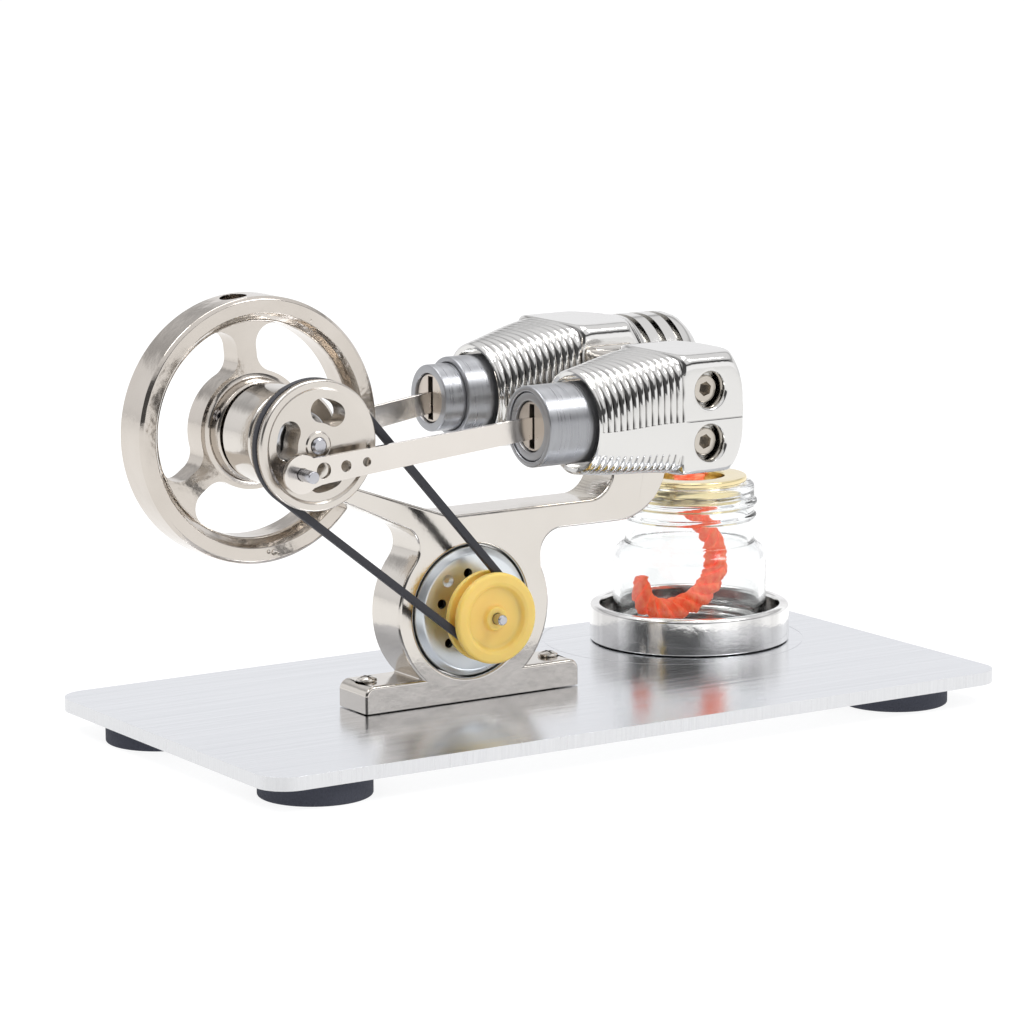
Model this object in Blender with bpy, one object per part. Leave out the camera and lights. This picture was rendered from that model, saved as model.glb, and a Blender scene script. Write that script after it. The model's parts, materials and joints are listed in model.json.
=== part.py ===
"""Twin-cylinder hot-air (Stirling) engine model on a base plate, belted to a small DC motor.

All dimensions below are millimetres in the plate's own frame: X along the plate's long side, Y away
from the front edge, Z up from the plate's top face, origin at the plate's front left corner.
world() turns them into metres in the part's frame, whose origin is the middle of the footprint, on
the surface that the feet stand on.
"""

from math import acos, asin, atan2, cos, degrees, hypot, pi, radians, sin, sqrt, tan

import bmesh
import bpy
from mathutils import Vector

MM = 0.001
GAP = 0.3  # clearance between pieces that touch on the real engine
SEAT = 0.15  # radial clearance of a piece pressed into a bore

# Base plate and feet
PLATE = (161.0, 83.0, 2.5)
PLATE_CORNER = 6.0
FOOT_RADIUS = 10.25
FOOT_HEIGHT = 4.0
FEET = {
    "front_left": (14.8, 11.2),
    "front_right": (144.4, 13.2),
    "rear_left": (12.2, 63.4),
    "rear_right": (145.0, 69.0),
}

# Crankshaft: its axis runs along Y
SHAFT_X, SHAFT_Z = 24.6, 52.45
SHAFT_RADIUS = 1.5
SHAFT_ENDS = (24.6, 54.0)
RUNNING_BORE = 1.58
CRANK_RADIUS = 6.7
FRONT_CRANK_ANGLE = 219.5  # degrees from +X towards +Z
REAR_CRANK_ANGLE = 309.5
CRANK_PIN_RADIUS = 1.1
PIN_CLEARANCE = 0.1

# Crank disc, which is also the driving pulley
DISC_FACE_Y = 25.1
DISC_RADIUS = 11.83
GROOVE_Y = (26.6, 28.6)
DISC_BACK_Y = 29.6
DISC_GROOVE_RADIUS = 10.2
DISC_WINDOWS = (70.0, 168.0, 284.0)
DISC_WINDOW_MIDDLE = 6.3
DISC_WINDOW_CAP = 2.2
DISC_WINDOW_HALF_ANGLE = 13.0

# Flywheel
WHEEL_RADIUS = 24.5
WHEEL_Y = (46.0, 54.4)
WEB_Y = (48.5, 53.6)
HUB_RADIUS = 9.4
HUB_Y = (44.9, 54.0)
WHEEL_RIM_INSIDE = 20.9
WINDOW_RADII = (11.0, 19.8)
WINDOW_FILLET = 3.6
SPOKE_HALF_WIDTH = 2.0
SPOKE_ANGLES = (95.0, 217.0, 335.0)
BALANCE_HOLE_ANGLE = 97.0

# Frame
FRAME_Y = (34.1, 44.1)
FOOT_BAR_X = (39.04, 85.67)
FOOT_BAR_HEIGHT = 5.24
EYE_RADIUS = 9.2
RING_CENTRE = (62.6, 16.9)
RING_RADIUS = 16.4
HEAD_X = (93.6, 106.0)
HEAD_TOP = 62.5
ARM_BOTTOM, ARM_TOP = 30.5, 35.2
FRAME_SCREW_X = (42.2, 82.0)
FRAME_SCREW_Y = 39.2
BEARING_RADIUS = 4.05
BEARING_BORE = 4.2

# Motor
MOTOR_X, MOTOR_Z = 61.93, 16.98
MOTOR_RADIUS = 12.2
MOTOR_Y = (33.3, 45.6)
MOTOR_VENTS = ((-1.3, 7.4), (-7.0, 2.2), (-5.5, -5.3), (5.0, -5.6), (7.2, 1.6))
MOTOR_SHAFT_RADIUS = 1.0
MOTOR_SHAFT_Y = (23.2, 44.6)
PULLEY_Y = (25.15, 29.8)
PULLEY_RADIUS = 8.47
PULLEY_GROOVE_RADIUS = 5.4
BELT_Y = 27.6
BELT_WIDTH = 1.4

# Cylinders: each axis runs along X
CYLINDERS = {
    "front": dict(y=22.5, z=52.45, half=11.2, end=107.2, liner=(67.0, 96.5), rod=52.0, piston=67.3),
    "rear": dict(y=56.4, z=53.6, half=12.0, end=124.0, liner=(71.1, 118.0), rod=44.0, piston=66.6),
}
MOUTH_X = 76.6
MOUTH_RADIUS = 9.66
MOUTH_BORE = 8.6
CONE_END_X = 93.0
CONE_END_RADIUS = 13.3
BODY_START_X = 94.5
LINER_RADIUS = 7.5
LINER_BORE = 6.45
PISTON_RADIUS = 6.35
PISTON_END_X = 83.6
POCKET_RADIUS = 4.75
POCKET_DEPTH = 9.5
ROD_SEAT_X = (0.5, 2.7)
ROD_THICKNESS = 1.0
ROD_HEAD_RADIUS = 3.5
ROD_TAIL_RADIUS = 1.95
ROD_HOLES = ((4.3, 1.45), (8.9, 1.05), (13.2, 0.85))
WRIST_PIN_RADIUS = 0.75
WRIST_PIN_HALF = 5.3
CASING_SCREWS = (99.8, (57.8, 48.0))
CASING_SCREW_Y = (13.2, 46.5)
CASING_SCREW_RADIUS = 1.4
CASING_LIFT = 0.8
CASING_LIFT_X = (78.0, 92.0)
COUNTERBORE = (3.3, 4.6)
COOLING_GROOVES = (110.35, 114.05, 117.75)
COOLING_GROOVE_WIDTH = 1.7
COOLING_GROOVE_RADIUS = 9.0

# Spirit burner
BURNER_X, BURNER_Y = 128.7, 59.05
CUP_RADIUS = 19.76
CUP_HEIGHT = 7.33
CUP_INSIDE = 17.7
CUP_FLOOR = 1.6
JAR_RADIUS = 15.15
JAR_NECK = 12.85
JAR_BOTTOM = 1.9
JAR_TOP = 31.5
JAR_WALL = 1.25
JAR_LIP_BORE = 10.45
HOLDER_TOP = 32.8
HOLDER_FLANGE = (11.3, 1.0)
HOLDER_PLUG = (10.1, 27.8)
HOLDER_HOLE = 6.9
WICK_RADIUS = 2.1
WICK_ROUTE = (
    (128.4, 32.3),
    (128.8, 27.0),
    (131.3, 23.5),
    (134.2, 19.5),
    (135.0, 16.0),
    (134.8, 12.5),
    (131.3, 8.2),
    (124.5, 6.0),
    (118.5, 7.6),
    (117.3, 11.0),
    (117.5, 13.6),
)

RGB = {
    "aluminium": ((0.78, 0.79, 0.81), 0.35, 1.0),
    "nickel": ((0.80, 0.78, 0.75), 0.15, 1.0),
    "graphite": ((0.24, 0.26, 0.29), 0.35, 0.7),
    "steel": ((0.60, 0.60, 0.62), 0.25, 1.0),
    "zinc": ((0.68, 0.72, 0.75), 0.30, 1.0),
    "yellow_nylon": ((0.95, 0.72, 0.18), 0.40, 0.0),
    "black_rubber": ((0.03, 0.03, 0.035), 0.70, 0.0),
    "foam": ((0.05, 0.05, 0.06), 0.90, 0.0),
    "brass": ((0.85, 0.76, 0.50), 0.25, 1.0),
    "glass": ((0.92, 0.96, 0.96), 0.05, 0.0),
    "cotton": ((0.95, 0.25, 0.12), 0.85, 0.0),
    "black_plastic": ((0.05, 0.05, 0.05), 0.50, 0.0),
    "magnet": ((0.16, 0.16, 0.17), 0.60, 0.3),
}


def world(x, y, z):
    """Plate-frame millimetres to the part's frame in metres."""
    return Vector((x - PLATE[0] / 2, y - PLATE[1] / 2, z + PLATE[2] + FOOT_HEIGHT)) * MM


def material(name):
    found = bpy.data.materials.get(name)
    if found:
        return found
    colour, roughness, metallic = RGB[name]
    made = bpy.data.materials.new(name)
    made.use_nodes = True
    shader = made.node_tree.nodes["Principled BSDF"]
    shader.inputs["Base Color"].default_value = (*colour, 1.0)
    shader.inputs["Roughness"].default_value = roughness
    shader.inputs["Metallic"].default_value = metallic
    if name == "glass":
        shader.inputs["Transmission Weight"].default_value = 1.0
    return made


def empty(name, place, parent=None):
    """An empty on a joint's axis, which the pieces of one moving body hang from."""
    made = bpy.data.objects.new(name, None)
    made.empty_display_size = 0.01
    bpy.context.scene.collection.objects.link(made)
    made["place"] = place
    made.parent = parent
    made.location = world(*place) - (world(*parent["place"]) if parent else Vector())
    return made


def add(name, bm, place, paint, parent=None, turn=0.0):
    """Turns a bmesh in local millimetres into an object whose origin is at place."""
    bmesh.ops.recalc_face_normals(bm, faces=bm.faces)
    mesh = bpy.data.meshes.new(name)
    for vert in bm.verts:
        vert.co *= MM
    bm.to_mesh(mesh)
    bm.free()
    mesh.shade_smooth()
    mesh.set_sharp_from_angle(angle=radians(35))
    obj = bpy.data.objects.new(name, mesh)
    bpy.context.scene.collection.objects.link(obj)
    obj.parent = parent
    obj.location = world(*place) - (world(*parent["place"]) if parent else Vector())
    obj.rotation_euler = (0.0, turn, 0.0)
    if paint:
        mesh.materials.append(material(paint))
    return obj


def cut(obj, bm, place, turn=0.0, operation="DIFFERENCE"):
    """Cuts a bmesh, placed in the plate's frame, out of an object."""
    tool = add(f"{obj.name}.cutter", bm, place, None, None, turn)
    tool.hide_render = True
    tool.display_type = "WIRE"
    step = obj.modifiers.new("Cut", "BOOLEAN")
    step.object = tool
    step.operation = operation
    step.solver = "EXACT"
    return obj


def turned(profile, axis="Z", segments=32):
    """A closed profile of (radius, height) points spun about an axis through the local origin."""
    bm = bmesh.new()
    rings = []
    for radius, height in profile:
        if radius < 1e-6:
            rings.append([bm.verts.new(along(axis, 0.0, 0.0, height))])
            continue
        ring = []
        for i in range(segments):
            a = 2 * pi * i / segments
            ring.append(bm.verts.new(along(axis, radius * cos(a), radius * sin(a), height)))
        rings.append(ring)
    for here, there in zip(rings, rings[1:] + rings[:1]):
        if len(here) == 1 and len(there) == 1:
            continue
        for i in range(segments):
            j = (i + 1) % segments
            if len(here) == 1:
                bm.faces.new((here[0], there[i], there[j]))
            elif len(there) == 1:
                bm.faces.new((here[i], there[0], here[j]))
            else:
                bm.faces.new((here[i], there[i], there[j], here[j]))
    return bm


def along(axis, u, v, w):
    """A point with w along the named axis and u, v across it, in right-handed order."""
    return {"X": (w, u, v), "Y": (v, w, u), "Z": (u, v, w)}[axis]


def rod(radius, start, end, axis, segments=20):
    return turned([(0, start), (radius, start), (radius, end), (0, end)], axis, segments)


def tube(outer, inner, start, end, axis, segments=32):
    return turned([(inner, start), (outer, start), (outer, end), (inner, end)], axis, segments)


def block(low, high):
    bm = bmesh.new()
    bmesh.ops.create_cube(bm, size=1.0)
    for vert in bm.verts:
        vert.co = [high[i] if vert.co[i] > 0 else low[i] for i in range(3)]
    return bm


def slab(outline, y_low, y_high):
    """An outline of (x, z) points extruded along Y."""
    bm = bmesh.new()
    front = [bm.verts.new((x, y_low, z)) for x, z in outline]
    back = [bm.verts.new((x, y_high, z)) for x, z in outline]
    bm.faces.new(front)
    bm.faces.new(back[::-1])
    count = len(outline)
    for i in range(count):
        j = (i + 1) % count
        bm.faces.new((front[i], back[i], back[j], front[j]))
    return bm


def arc(cx, cz, radius, start, end, steps):
    """Points on a circle from one angle to another, in degrees."""
    angles = [radians(start + (end - start) * i / steps) for i in range(steps + 1)]
    return [(cx + radius * cos(a), cz + radius * sin(a)) for a in angles]


def filleted(corners, steps=5):
    """A closed outline from (x, z, fillet radius) corners."""
    points = []
    count = len(corners)
    for i, (x, z, radius) in enumerate(corners):
        here = Vector((x, z))
        before = (Vector(corners[i - 1][:2]) - here).normalized()
        after = (Vector(corners[(i + 1) % count][:2]) - here).normalized()
        if radius == 0:
            points.append((x, z))
            continue
        half = before.angle(after) / 2
        centre = here + (before + after).normalized() * radius / sin(half)
        first = here + before * radius / tan(half)
        last = here + after * radius / tan(half)
        a0 = atan2(first.y - centre.y, first.x - centre.x)
        a1 = atan2(last.y - centre.y, last.x - centre.x)
        sweep = (a1 - a0 + pi) % (2 * pi) - pi
        for step in range(steps + 1):
            a = a0 + sweep * step / steps
            points.append((centre.x + radius * cos(a), centre.y + radius * sin(a)))
    return points


def bean(middle, cap, start, end, y_low, y_high):
    """A curved slot round the Y axis: cap is its half width, and start and end are its end centres."""
    outline = []
    for radius, angle, turn_from in ((middle, end, end), (middle, start, start + 180)):
        cx, cz = radius * cos(radians(angle)), radius * sin(radians(angle))
        outline += arc(cx, cz, cap, turn_from, turn_from + 180, 6)
        if angle == end:
            outline += arc(0, 0, middle - cap, end, start, 5)[1:-1]
        else:
            outline += arc(0, 0, middle + cap, start, end, 5)[1:-1]
    return slab(outline, y_low, y_high)


def spoke_window(before, after, y_low, y_high):
    """The opening between two spokes that run straight out at these angles, with filleted corners."""
    inner, outer = WINDOW_RADII
    fillet = WINDOW_FILLET
    reach = SPOKE_HALF_WIDTH + fillet
    near, far = inner + fillet, outer - fillet
    near_lean = degrees(asin(reach / near))
    far_lean = degrees(asin(reach / far))
    corners = (
        (far, before + far_lean, before - 90, before + far_lean),
        (far, after - far_lean, after - far_lean, after + 90),
        (near, after - near_lean, after + 90, after - near_lean + 180),
        (near, before + near_lean, before + near_lean + 180, before + 270),
    )
    outline = []
    for i, (radius, angle, turn_from, turn_to) in enumerate(corners):
        cx, cz = radius * cos(radians(angle)), radius * sin(radians(angle))
        outline += arc(cx, cz, fillet, turn_from, turn_to, 5)
        if i == 0:
            outline += arc(0, 0, outer, before + far_lean, after - far_lean, 10)[1:-1]
        if i == 2:
            outline += arc(0, 0, inner, after - near_lean, before + near_lean, 8)[1:-1]
    return slab(outline, y_low, y_high)


def crank_pin_place(angle):
    """(x, z) of a crank pin."""
    a = radians(angle)
    return SHAFT_X + CRANK_RADIUS * cos(a), SHAFT_Z + CRANK_RADIUS * sin(a)


# ---------------------------------------------------------------- base


def build_base():
    length, width, thick = PLATE
    corners = [(0, 0), (length, 0), (length, width), (0, width)]
    outline = filleted([(x, y, PLATE_CORNER) for x, y in corners])
    bm = slab(outline, 0, thick)
    for vert in bm.verts:
        vert.co = (vert.co.x, vert.co.z, -vert.co.y)
    plate = add("base_plate", bm, (0, 0, 0), "aluminium")
    for x in FRAME_SCREW_X:
        cut(plate, rod(1.8, -thick - 1, 1, "Z", 16), (x, FRAME_SCREW_Y, 0))
    for corner, (x, y) in FEET.items():
        pad = rod(FOOT_RADIUS, 0, FOOT_HEIGHT - GAP, "Z", 32)
        add(f"foot_{corner}", pad, (x, y, -thick - FOOT_HEIGHT), "foam")


# ---------------------------------------------------------------- frame


def frame_outline():
    """The cast side frame: foot bar, motor ring, arm to the shaft eye and hooked arm to the cylinders."""
    cx, cz = RING_CENTRE
    foot = degrees(asin((FOOT_BAR_HEIGHT - cz) / RING_RADIUS))
    left, right = FOOT_BAR_X

    def plain(points):
        return [(x, z, 0) for x, z in points]

    corners = [(left, GAP, 0), (right, GAP, 0), (right, FOOT_BAR_HEIGHT, 2.0)]
    corners += plain(arc(cx, cz, RING_RADIUS, foot, 25, 10))
    corners += [
        (77.3, ARM_BOTTOM, 4.5),
        (HEAD_X[1], ARM_BOTTOM, 11.0),
        (HEAD_X[1], HEAD_TOP, 1.5),
        (HEAD_X[0], HEAD_TOP, 1.5),
        (HEAD_X[0], ARM_TOP, 5.2),
        (57.6, ARM_TOP, 9.0),
        (30.8, 44.78, 2.8),
    ]
    corners += plain(arc(SHAFT_X, SHAFT_Z, EYE_RADIUS, -30, 265, 26))
    corners += [(28.35, 42.9, 6.0), (53.1, 31.4, 4.1)]
    corners += plain(arc(cx, cz, RING_RADIUS, 142, 180 - foot, 8))
    corners += [(left, FOOT_BAR_HEIGHT, 2.0)]
    return filleted(corners)


def build_frame():
    frame = add("engine_frame", slab(frame_outline(), *FRAME_Y), (0, 0, 0), "nickel")
    low, high = FRAME_Y[0] - 2, FRAME_Y[1] + 2
    screw_x, screw_heights = CASING_SCREWS
    cut(frame, rod(BEARING_BORE, low, high, "Y", 24), (SHAFT_X, 0, SHAFT_Z))
    cut(frame, rod(MOTOR_RADIUS + GAP, low, high, "Y", 48), (MOTOR_X, 0, MOTOR_Z))
    for x in FRAME_SCREW_X:
        cut(frame, rod(1.6, -1, FOOT_BAR_HEIGHT + 1, "Z", 16), (x, FRAME_SCREW_Y, 0))
    for z in screw_heights:
        cut(frame, rod(CASING_SCREW_RADIUS + 0.25, low, high, "Y", 16), (screw_x, 0, z))
    top = FOOT_BAR_HEIGHT + SEAT
    for name, x in zip(("left", "right"), FRAME_SCREW_X):
        shape = [
            (0, -2.3),
            (1.3, -2.3),
            (1.3, top),
            (2.0, top),
            (2.0, top + 0.5),
            (1.5, top + 0.9),
            (0, top + 0.9),
        ]
        screw = add(f"frame_screw_{name}", turned(shape, "Z", 20), (x, FRAME_SCREW_Y, 0), "nickel")
        cut(screw, rod(0.9, top + 0.35, top + 3, "Z", 6), (x, FRAME_SCREW_Y, 0))
    flange_start, front_end = 31.2, 37.1
    shape = [
        (RUNNING_BORE, flange_start),
        (5.5, flange_start),
        (5.5, FRAME_Y[0] - GAP),
        (BEARING_RADIUS, FRAME_Y[0] - GAP),
        (BEARING_RADIUS, front_end),
        (RUNNING_BORE, front_end),
    ]
    add("shaft_bearing_front", turned(shape, "Y", 28), (SHAFT_X, 0, SHAFT_Z), "steel")
    ring = tube(BEARING_RADIUS, RUNNING_BORE, 40.8, FRAME_Y[1] + 0.3, "Y", 28)
    add("shaft_bearing_rear", ring, (SHAFT_X, 0, SHAFT_Z), "steel")


# ---------------------------------------------------------------- crankshaft


def build_crank():
    axis = empty("crank_axis", (SHAFT_X, 0, SHAFT_Z))
    centre = (SHAFT_X, 0, SHAFT_Z)
    add("main_shaft", rod(SHAFT_RADIUS, *SHAFT_ENDS, "Y", 24), centre, "steel", axis)
    build_disc(centre, axis)
    build_flywheel(centre, axis)


def build_disc(centre, axis):
    face = DISC_FACE_Y
    groove, back = GROOVE_Y
    shape = [
        (RUNNING_BORE, face + 0.1),
        (2.3, face + 0.1),
        (2.5, face + 0.35),
        (DISC_RADIUS - 1.5, face + 0.35),
        (DISC_RADIUS - 1.1, face),
        (DISC_RADIUS - 0.3, face),
        (DISC_RADIUS, face + 0.3),
        (DISC_RADIUS, groove),
        (DISC_GROOVE_RADIUS, groove),
        (DISC_GROOVE_RADIUS, back),
        (DISC_RADIUS - 0.3, back),
        (DISC_RADIUS - 0.3, DISC_BACK_Y),
        (6.0, DISC_BACK_Y),
        (5.6, DISC_BACK_Y + 1.0),
        (RUNNING_BORE, DISC_BACK_Y + 1.0),
    ]
    disc = add("crank_disc", turned(shape, "Y", 48), centre, "nickel", axis)
    for angle in DISC_WINDOWS:
        start, end = angle - DISC_WINDOW_HALF_ANGLE, angle + DISC_WINDOW_HALF_ANGLE
        cut(disc, bean(DISC_WINDOW_MIDDLE, DISC_WINDOW_CAP, start, end, face - 1, DISC_BACK_Y + 3), centre)
    x, z = crank_pin_place(FRONT_CRANK_ANGLE)
    cut(disc, rod(CRANK_PIN_RADIUS + PIN_CLEARANCE, face - 2, DISC_BACK_Y + 3, "Y", 20), (x, 0, z))
    rod_back = CYLINDERS["front"]["y"] + ROD_THICKNESS / 2
    add("front_crank_pin", rod(CRANK_PIN_RADIUS, rod_back + GAP, 28.2, "Y", 20), (x, 0, z), "steel", axis)


def build_flywheel(centre, axis):
    shape = [
        (RUNNING_BORE, HUB_Y[0]),
        (HUB_RADIUS - 0.5, HUB_Y[0]),
        (HUB_RADIUS, HUB_Y[0] + 0.5),
        (HUB_RADIUS, WEB_Y[0]),
        (WHEEL_RIM_INSIDE - 0.8, WEB_Y[0]),
        (WHEEL_RIM_INSIDE, WHEEL_Y[0] + 1.0),
        (WHEEL_RIM_INSIDE + 0.4, WHEEL_Y[0]),
        (WHEEL_RADIUS - 0.5, WHEEL_Y[0]),
        (WHEEL_RADIUS, WHEEL_Y[0] + 0.5),
        (WHEEL_RADIUS, WHEEL_Y[1] - 0.5),
        (WHEEL_RADIUS - 0.5, WHEEL_Y[1]),
        (WHEEL_RIM_INSIDE, WHEEL_Y[1]),
        (WHEEL_RIM_INSIDE - 0.4, WEB_Y[1]),
        (HUB_RADIUS, WEB_Y[1]),
        (HUB_RADIUS - 0.4, HUB_Y[1]),
        (RUNNING_BORE, HUB_Y[1]),
    ]
    wheel = add("flywheel", turned(shape, "Y", 56), centre, "nickel", axis)
    for before, after in zip(SPOKE_ANGLES, SPOKE_ANGLES[1:] + (SPOKE_ANGLES[0] + 360,)):
        cut(wheel, spoke_window(before, after, HUB_Y[0] - 2, WHEEL_Y[1] + 2), centre)
    middle = (WHEEL_Y[0] + WHEEL_Y[1]) / 2
    hole = rod(2.5, WHEEL_RADIUS - 2.4, WHEEL_RADIUS + 3, "Z", 20)
    cut(wheel, hole, (SHAFT_X, middle, SHAFT_Z), pi / 2 - radians(BALANCE_HOLE_ANGLE))
    grub_turn = pi / 2 - radians(SPOKE_ANGLES[1] - 60)
    grub_place = (SHAFT_X, 46.6, SHAFT_Z)
    cut(wheel, rod(1.35, 1.0, HUB_RADIUS + 2, "Z", 16), grub_place, grub_turn)
    grub = rod(1.2, SHAFT_RADIUS + 0.25, HUB_RADIUS - 1.0, "Z", 16)
    add("flywheel_set_screw", grub, grub_place, "steel", axis, grub_turn)
    x, z = crank_pin_place(REAR_CRANK_ANGLE)
    cut(wheel, rod(CRANK_PIN_RADIUS + PIN_CLEARANCE, 50.4, HUB_Y[1] + 2, "Y", 20), (x, 0, z))
    rod_front = CYLINDERS["rear"]["y"] - ROD_THICKNESS / 2
    add("rear_crank_pin", rod(CRANK_PIN_RADIUS, 51.0, rod_front - GAP, "Y", 20), (x, 0, z), "steel", axis)


# ---------------------------------------------------------------- cylinders


def casing_profile(side):
    """(x, radius) that turning leaves; the flats of the square bar take over where they are nearer."""
    half, end = CYLINDERS[side]["half"], CYLINDERS[side]["end"]
    corner = half * sqrt(2)
    steps = 7
    profile = []
    for i in range(steps + 1):
        t = i / steps
        x = MOUTH_X + (CONE_END_X - MOUTH_X) * t
        profile.append((x, MOUTH_RADIUS + (CONE_END_RADIUS - MOUTH_RADIUS) * t))
    profile.append((BODY_START_X, corner))
    if side == "front":
        return profile + [(102.5, corner), (103.7, 14.7), (105.0, 13.7), (106.2, 12.9), (end, 12.2)]
    profile += [(104.0, corner), (105.3, 15.5), (106.6, 14.2), (107.8, 13.1), (108.9, 12.2)]
    for x in COOLING_GROOVES:
        before, after = x - COOLING_GROOVE_WIDTH / 2, x + COOLING_GROOVE_WIDTH / 2
        profile += [(before, 12.1), (before, COOLING_GROOVE_RADIUS)]
        profile += [(after, COOLING_GROOVE_RADIUS), (after, 12.1)]
    return profile + [(119.6, 12.0), (121.4, 11.3), (122.8, 10.0), (123.6, 8.4), (end, 6.4)]


def casing_lift(x):
    """How far the casing's outside stands above the bore: nothing at the mouth, all of it at the block."""
    t = min(1.0, max(0.0, (x - CASING_LIFT_X[0]) / (CASING_LIFT_X[1] - CASING_LIFT_X[0])))
    return CASING_LIFT * t * t * (3 - 2 * t)


def casing_body(side):
    """A turned cone that grows into a square block with a round end, as sections along X."""
    half = CYLINDERS[side]["half"]
    segments = 48
    bm = bmesh.new()
    rings = []
    for x, limit in casing_profile(side):
        ring = []
        for i in range(segments):
            a = 2 * pi * i / segments
            radius = min(limit, half / max(abs(cos(a)), abs(sin(a))))
            ring.append(bm.verts.new((x, radius * cos(a), radius * sin(a) + casing_lift(x))))
        rings.append(ring)
    for here, there in zip(rings, rings[1:]):
        for i in range(segments):
            j = (i + 1) % segments
            bm.faces.new((here[i], here[j], there[j], there[i]))
    bm.faces.new(rings[0])
    bm.faces.new(rings[-1])
    return bm


def build_cylinder(side):
    cylinder = CYLINDERS[side]
    y, z, end = cylinder["y"], cylinder["z"], cylinder["end"]
    liner_start, liner_end = cylinder["liner"]
    screw_x, heights = CASING_SCREWS
    casing = add(f"{side}_casing", casing_body(side), (0, y, z), "nickel")
    seat = LINER_RADIUS + SEAT
    bore = [
        (0, MOUTH_X - 2),
        (MOUTH_BORE, MOUTH_X - 2),
        (MOUTH_BORE, MOUTH_X + 3.4),
        (seat, MOUTH_X + 3.4),
        (seat, liner_end + GAP),
        (0, liner_end + GAP),
    ]
    cut(casing, turned(bore, "X", 40), (0, y, z))
    near_face = y - cylinder["half"]
    through = y + cylinder["half"] + 2 if side == "front" else CASING_SCREW_Y[1] + 0.5
    for screw_z in heights:
        cut(casing, rod(CASING_SCREW_RADIUS + 0.25, near_face - 2, through, "Y", 16), (screw_x, 0, screw_z))
        if side == "front":
            radius, depth = COUNTERBORE
            cut(casing, rod(radius, near_face - 2, near_face + depth, "Y", 24), (screw_x, 0, screw_z))
    if side == "front":
        cut(casing, rod(2.55, end - 4.0, end + 2, "X", 20), (0, y, z))
        shape = [
            (0, end - 3.6),
            (2.4, end - 3.6),
            (2.4, end + SEAT),
            (4.0, end + SEAT),
            (4.0, end + 5.4),
            (3.2, end + 6.2),
            (0, end + 6.2),
        ]
        add("front_end_plug", turned(shape, "X", 28), (0, y, z), "nickel")
    liner = tube(LINER_RADIUS, LINER_BORE, liner_start, liner_end, "X", 48)
    add(f"{side}_cylinder_liner", liner, (0, y, z), "graphite")
    build_piston(side, cylinder)


def build_piston(side, cylinder):
    y, z, start = cylinder["y"], cylinder["z"], cylinder["piston"]
    pin_x, pin_z = crank_pin_place(FRONT_CRANK_ANGLE if side == "front" else REAR_CRANK_ANGLE)
    wrist_x = pin_x + sqrt(cylinder["rod"] ** 2 - (z - pin_z) ** 2)
    wrist = (wrist_x, y, z)
    axis = empty(f"{side}_wrist_axis", wrist)
    stop = PISTON_END_X
    shape = [
        (0, start + POCKET_DEPTH),
        (POCKET_RADIUS, start + POCKET_DEPTH),
        (POCKET_RADIUS, start),
        (PISTON_RADIUS - 0.3, start),
        (PISTON_RADIUS, start + 0.3),
        (PISTON_RADIUS, stop - 0.3),
        (PISTON_RADIUS - 0.3, stop),
        (0, stop),
    ]
    body = turned([(r, h - wrist_x) for r, h in shape], "X", 48)
    piston = add(f"{side}_piston", body, wrist, "graphite", axis)
    cut(piston, rod(WRIST_PIN_RADIUS + PIN_CLEARANCE, -9, 9, "Y", 16), wrist)
    pin = rod(WRIST_PIN_RADIUS, -WRIST_PIN_HALF, WRIST_PIN_HALF, "Y", 16)
    add(f"{side}_wrist_pin", pin, wrist, "steel", axis)
    near, far = (start + offset - wrist_x for offset in ROD_SEAT_X)
    seat = add(f"{side}_rod_seat", rod(POCKET_RADIUS - SEAT, near, far, "X", 28), wrist, "nickel", axis)
    cut(seat, block((-9, -0.85, -4.1), (9, 0.85, 4.1)), (start, y, z))
    if side == "rear":
        shape = [
            (0, stop + GAP),
            (4.0, stop + GAP),
            (6.1, stop + 1.4),
            (6.1, 108.8),
            (5.2, 110.2),
            (0, 110.8),
        ]
        cap = turned([(r, h - wrist_x) for r, h in shape], "X", 32)
        add("rear_hot_cap", cap, wrist, "steel", axis)

    length = cylinder["rod"]
    turn = -asin((z - pin_z) / length)
    t = ROD_THICKNESS / 2
    outline = arc(-length, 0, ROD_HEAD_RADIUS, 50, 310, 14)
    outline += [(-length + 6, -2.55), (-length + 12, -2.3)]
    outline += arc(0, 0, ROD_TAIL_RADIUS, -90, 90, 8)
    outline += [(-length + 12, 2.3), (-length + 6, 2.55)]
    strip = add(f"{side}_connecting_rod", slab(outline, -t, t), wrist, "steel", axis, turn)
    cut(strip, rod(WRIST_PIN_RADIUS + PIN_CLEARANCE, -3, 3, "Y", 16), wrist, turn)
    holes = [(0.0, CRANK_PIN_RADIUS + PIN_CLEARANCE)] + list(ROD_HOLES)
    for distance, radius in holes:
        bm = rod(radius, -3, 3, "Y", 16)
        bmesh.ops.translate(bm, verts=bm.verts, vec=(distance - length, 0, 0))
        cut(strip, bm, wrist, turn)
    ends = (-4.5, t) if side == "front" else (-t, 2.6)
    head = rod(CRANK_PIN_RADIUS, *ends, "Y", 20)
    add(f"{side}_rod_pin", head, (pin_x, y, pin_z), "steel", axis)


def build_casing_screws():
    """Long cap screws that clamp both casings to the frame's head."""
    top, tip = CASING_SCREW_Y
    x, heights = CASING_SCREWS
    for name, z in zip(("upper", "lower"), heights):
        shape = [
            (0, top),
            (2.3, top),
            (2.55, top + 0.3),
            (2.55, top + 2.4),
            (CASING_SCREW_RADIUS, top + 2.4),
            (CASING_SCREW_RADIUS, tip),
            (0, tip),
        ]
        screw = add(f"casing_screw_{name}", turned(shape, "Y", 20), (x, 0, z), "steel")
        cut(screw, rod(1.35, top - 2, top + 1.3, "Y", 6), (x, 0, z))


# ---------------------------------------------------------------- motor and belt


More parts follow.
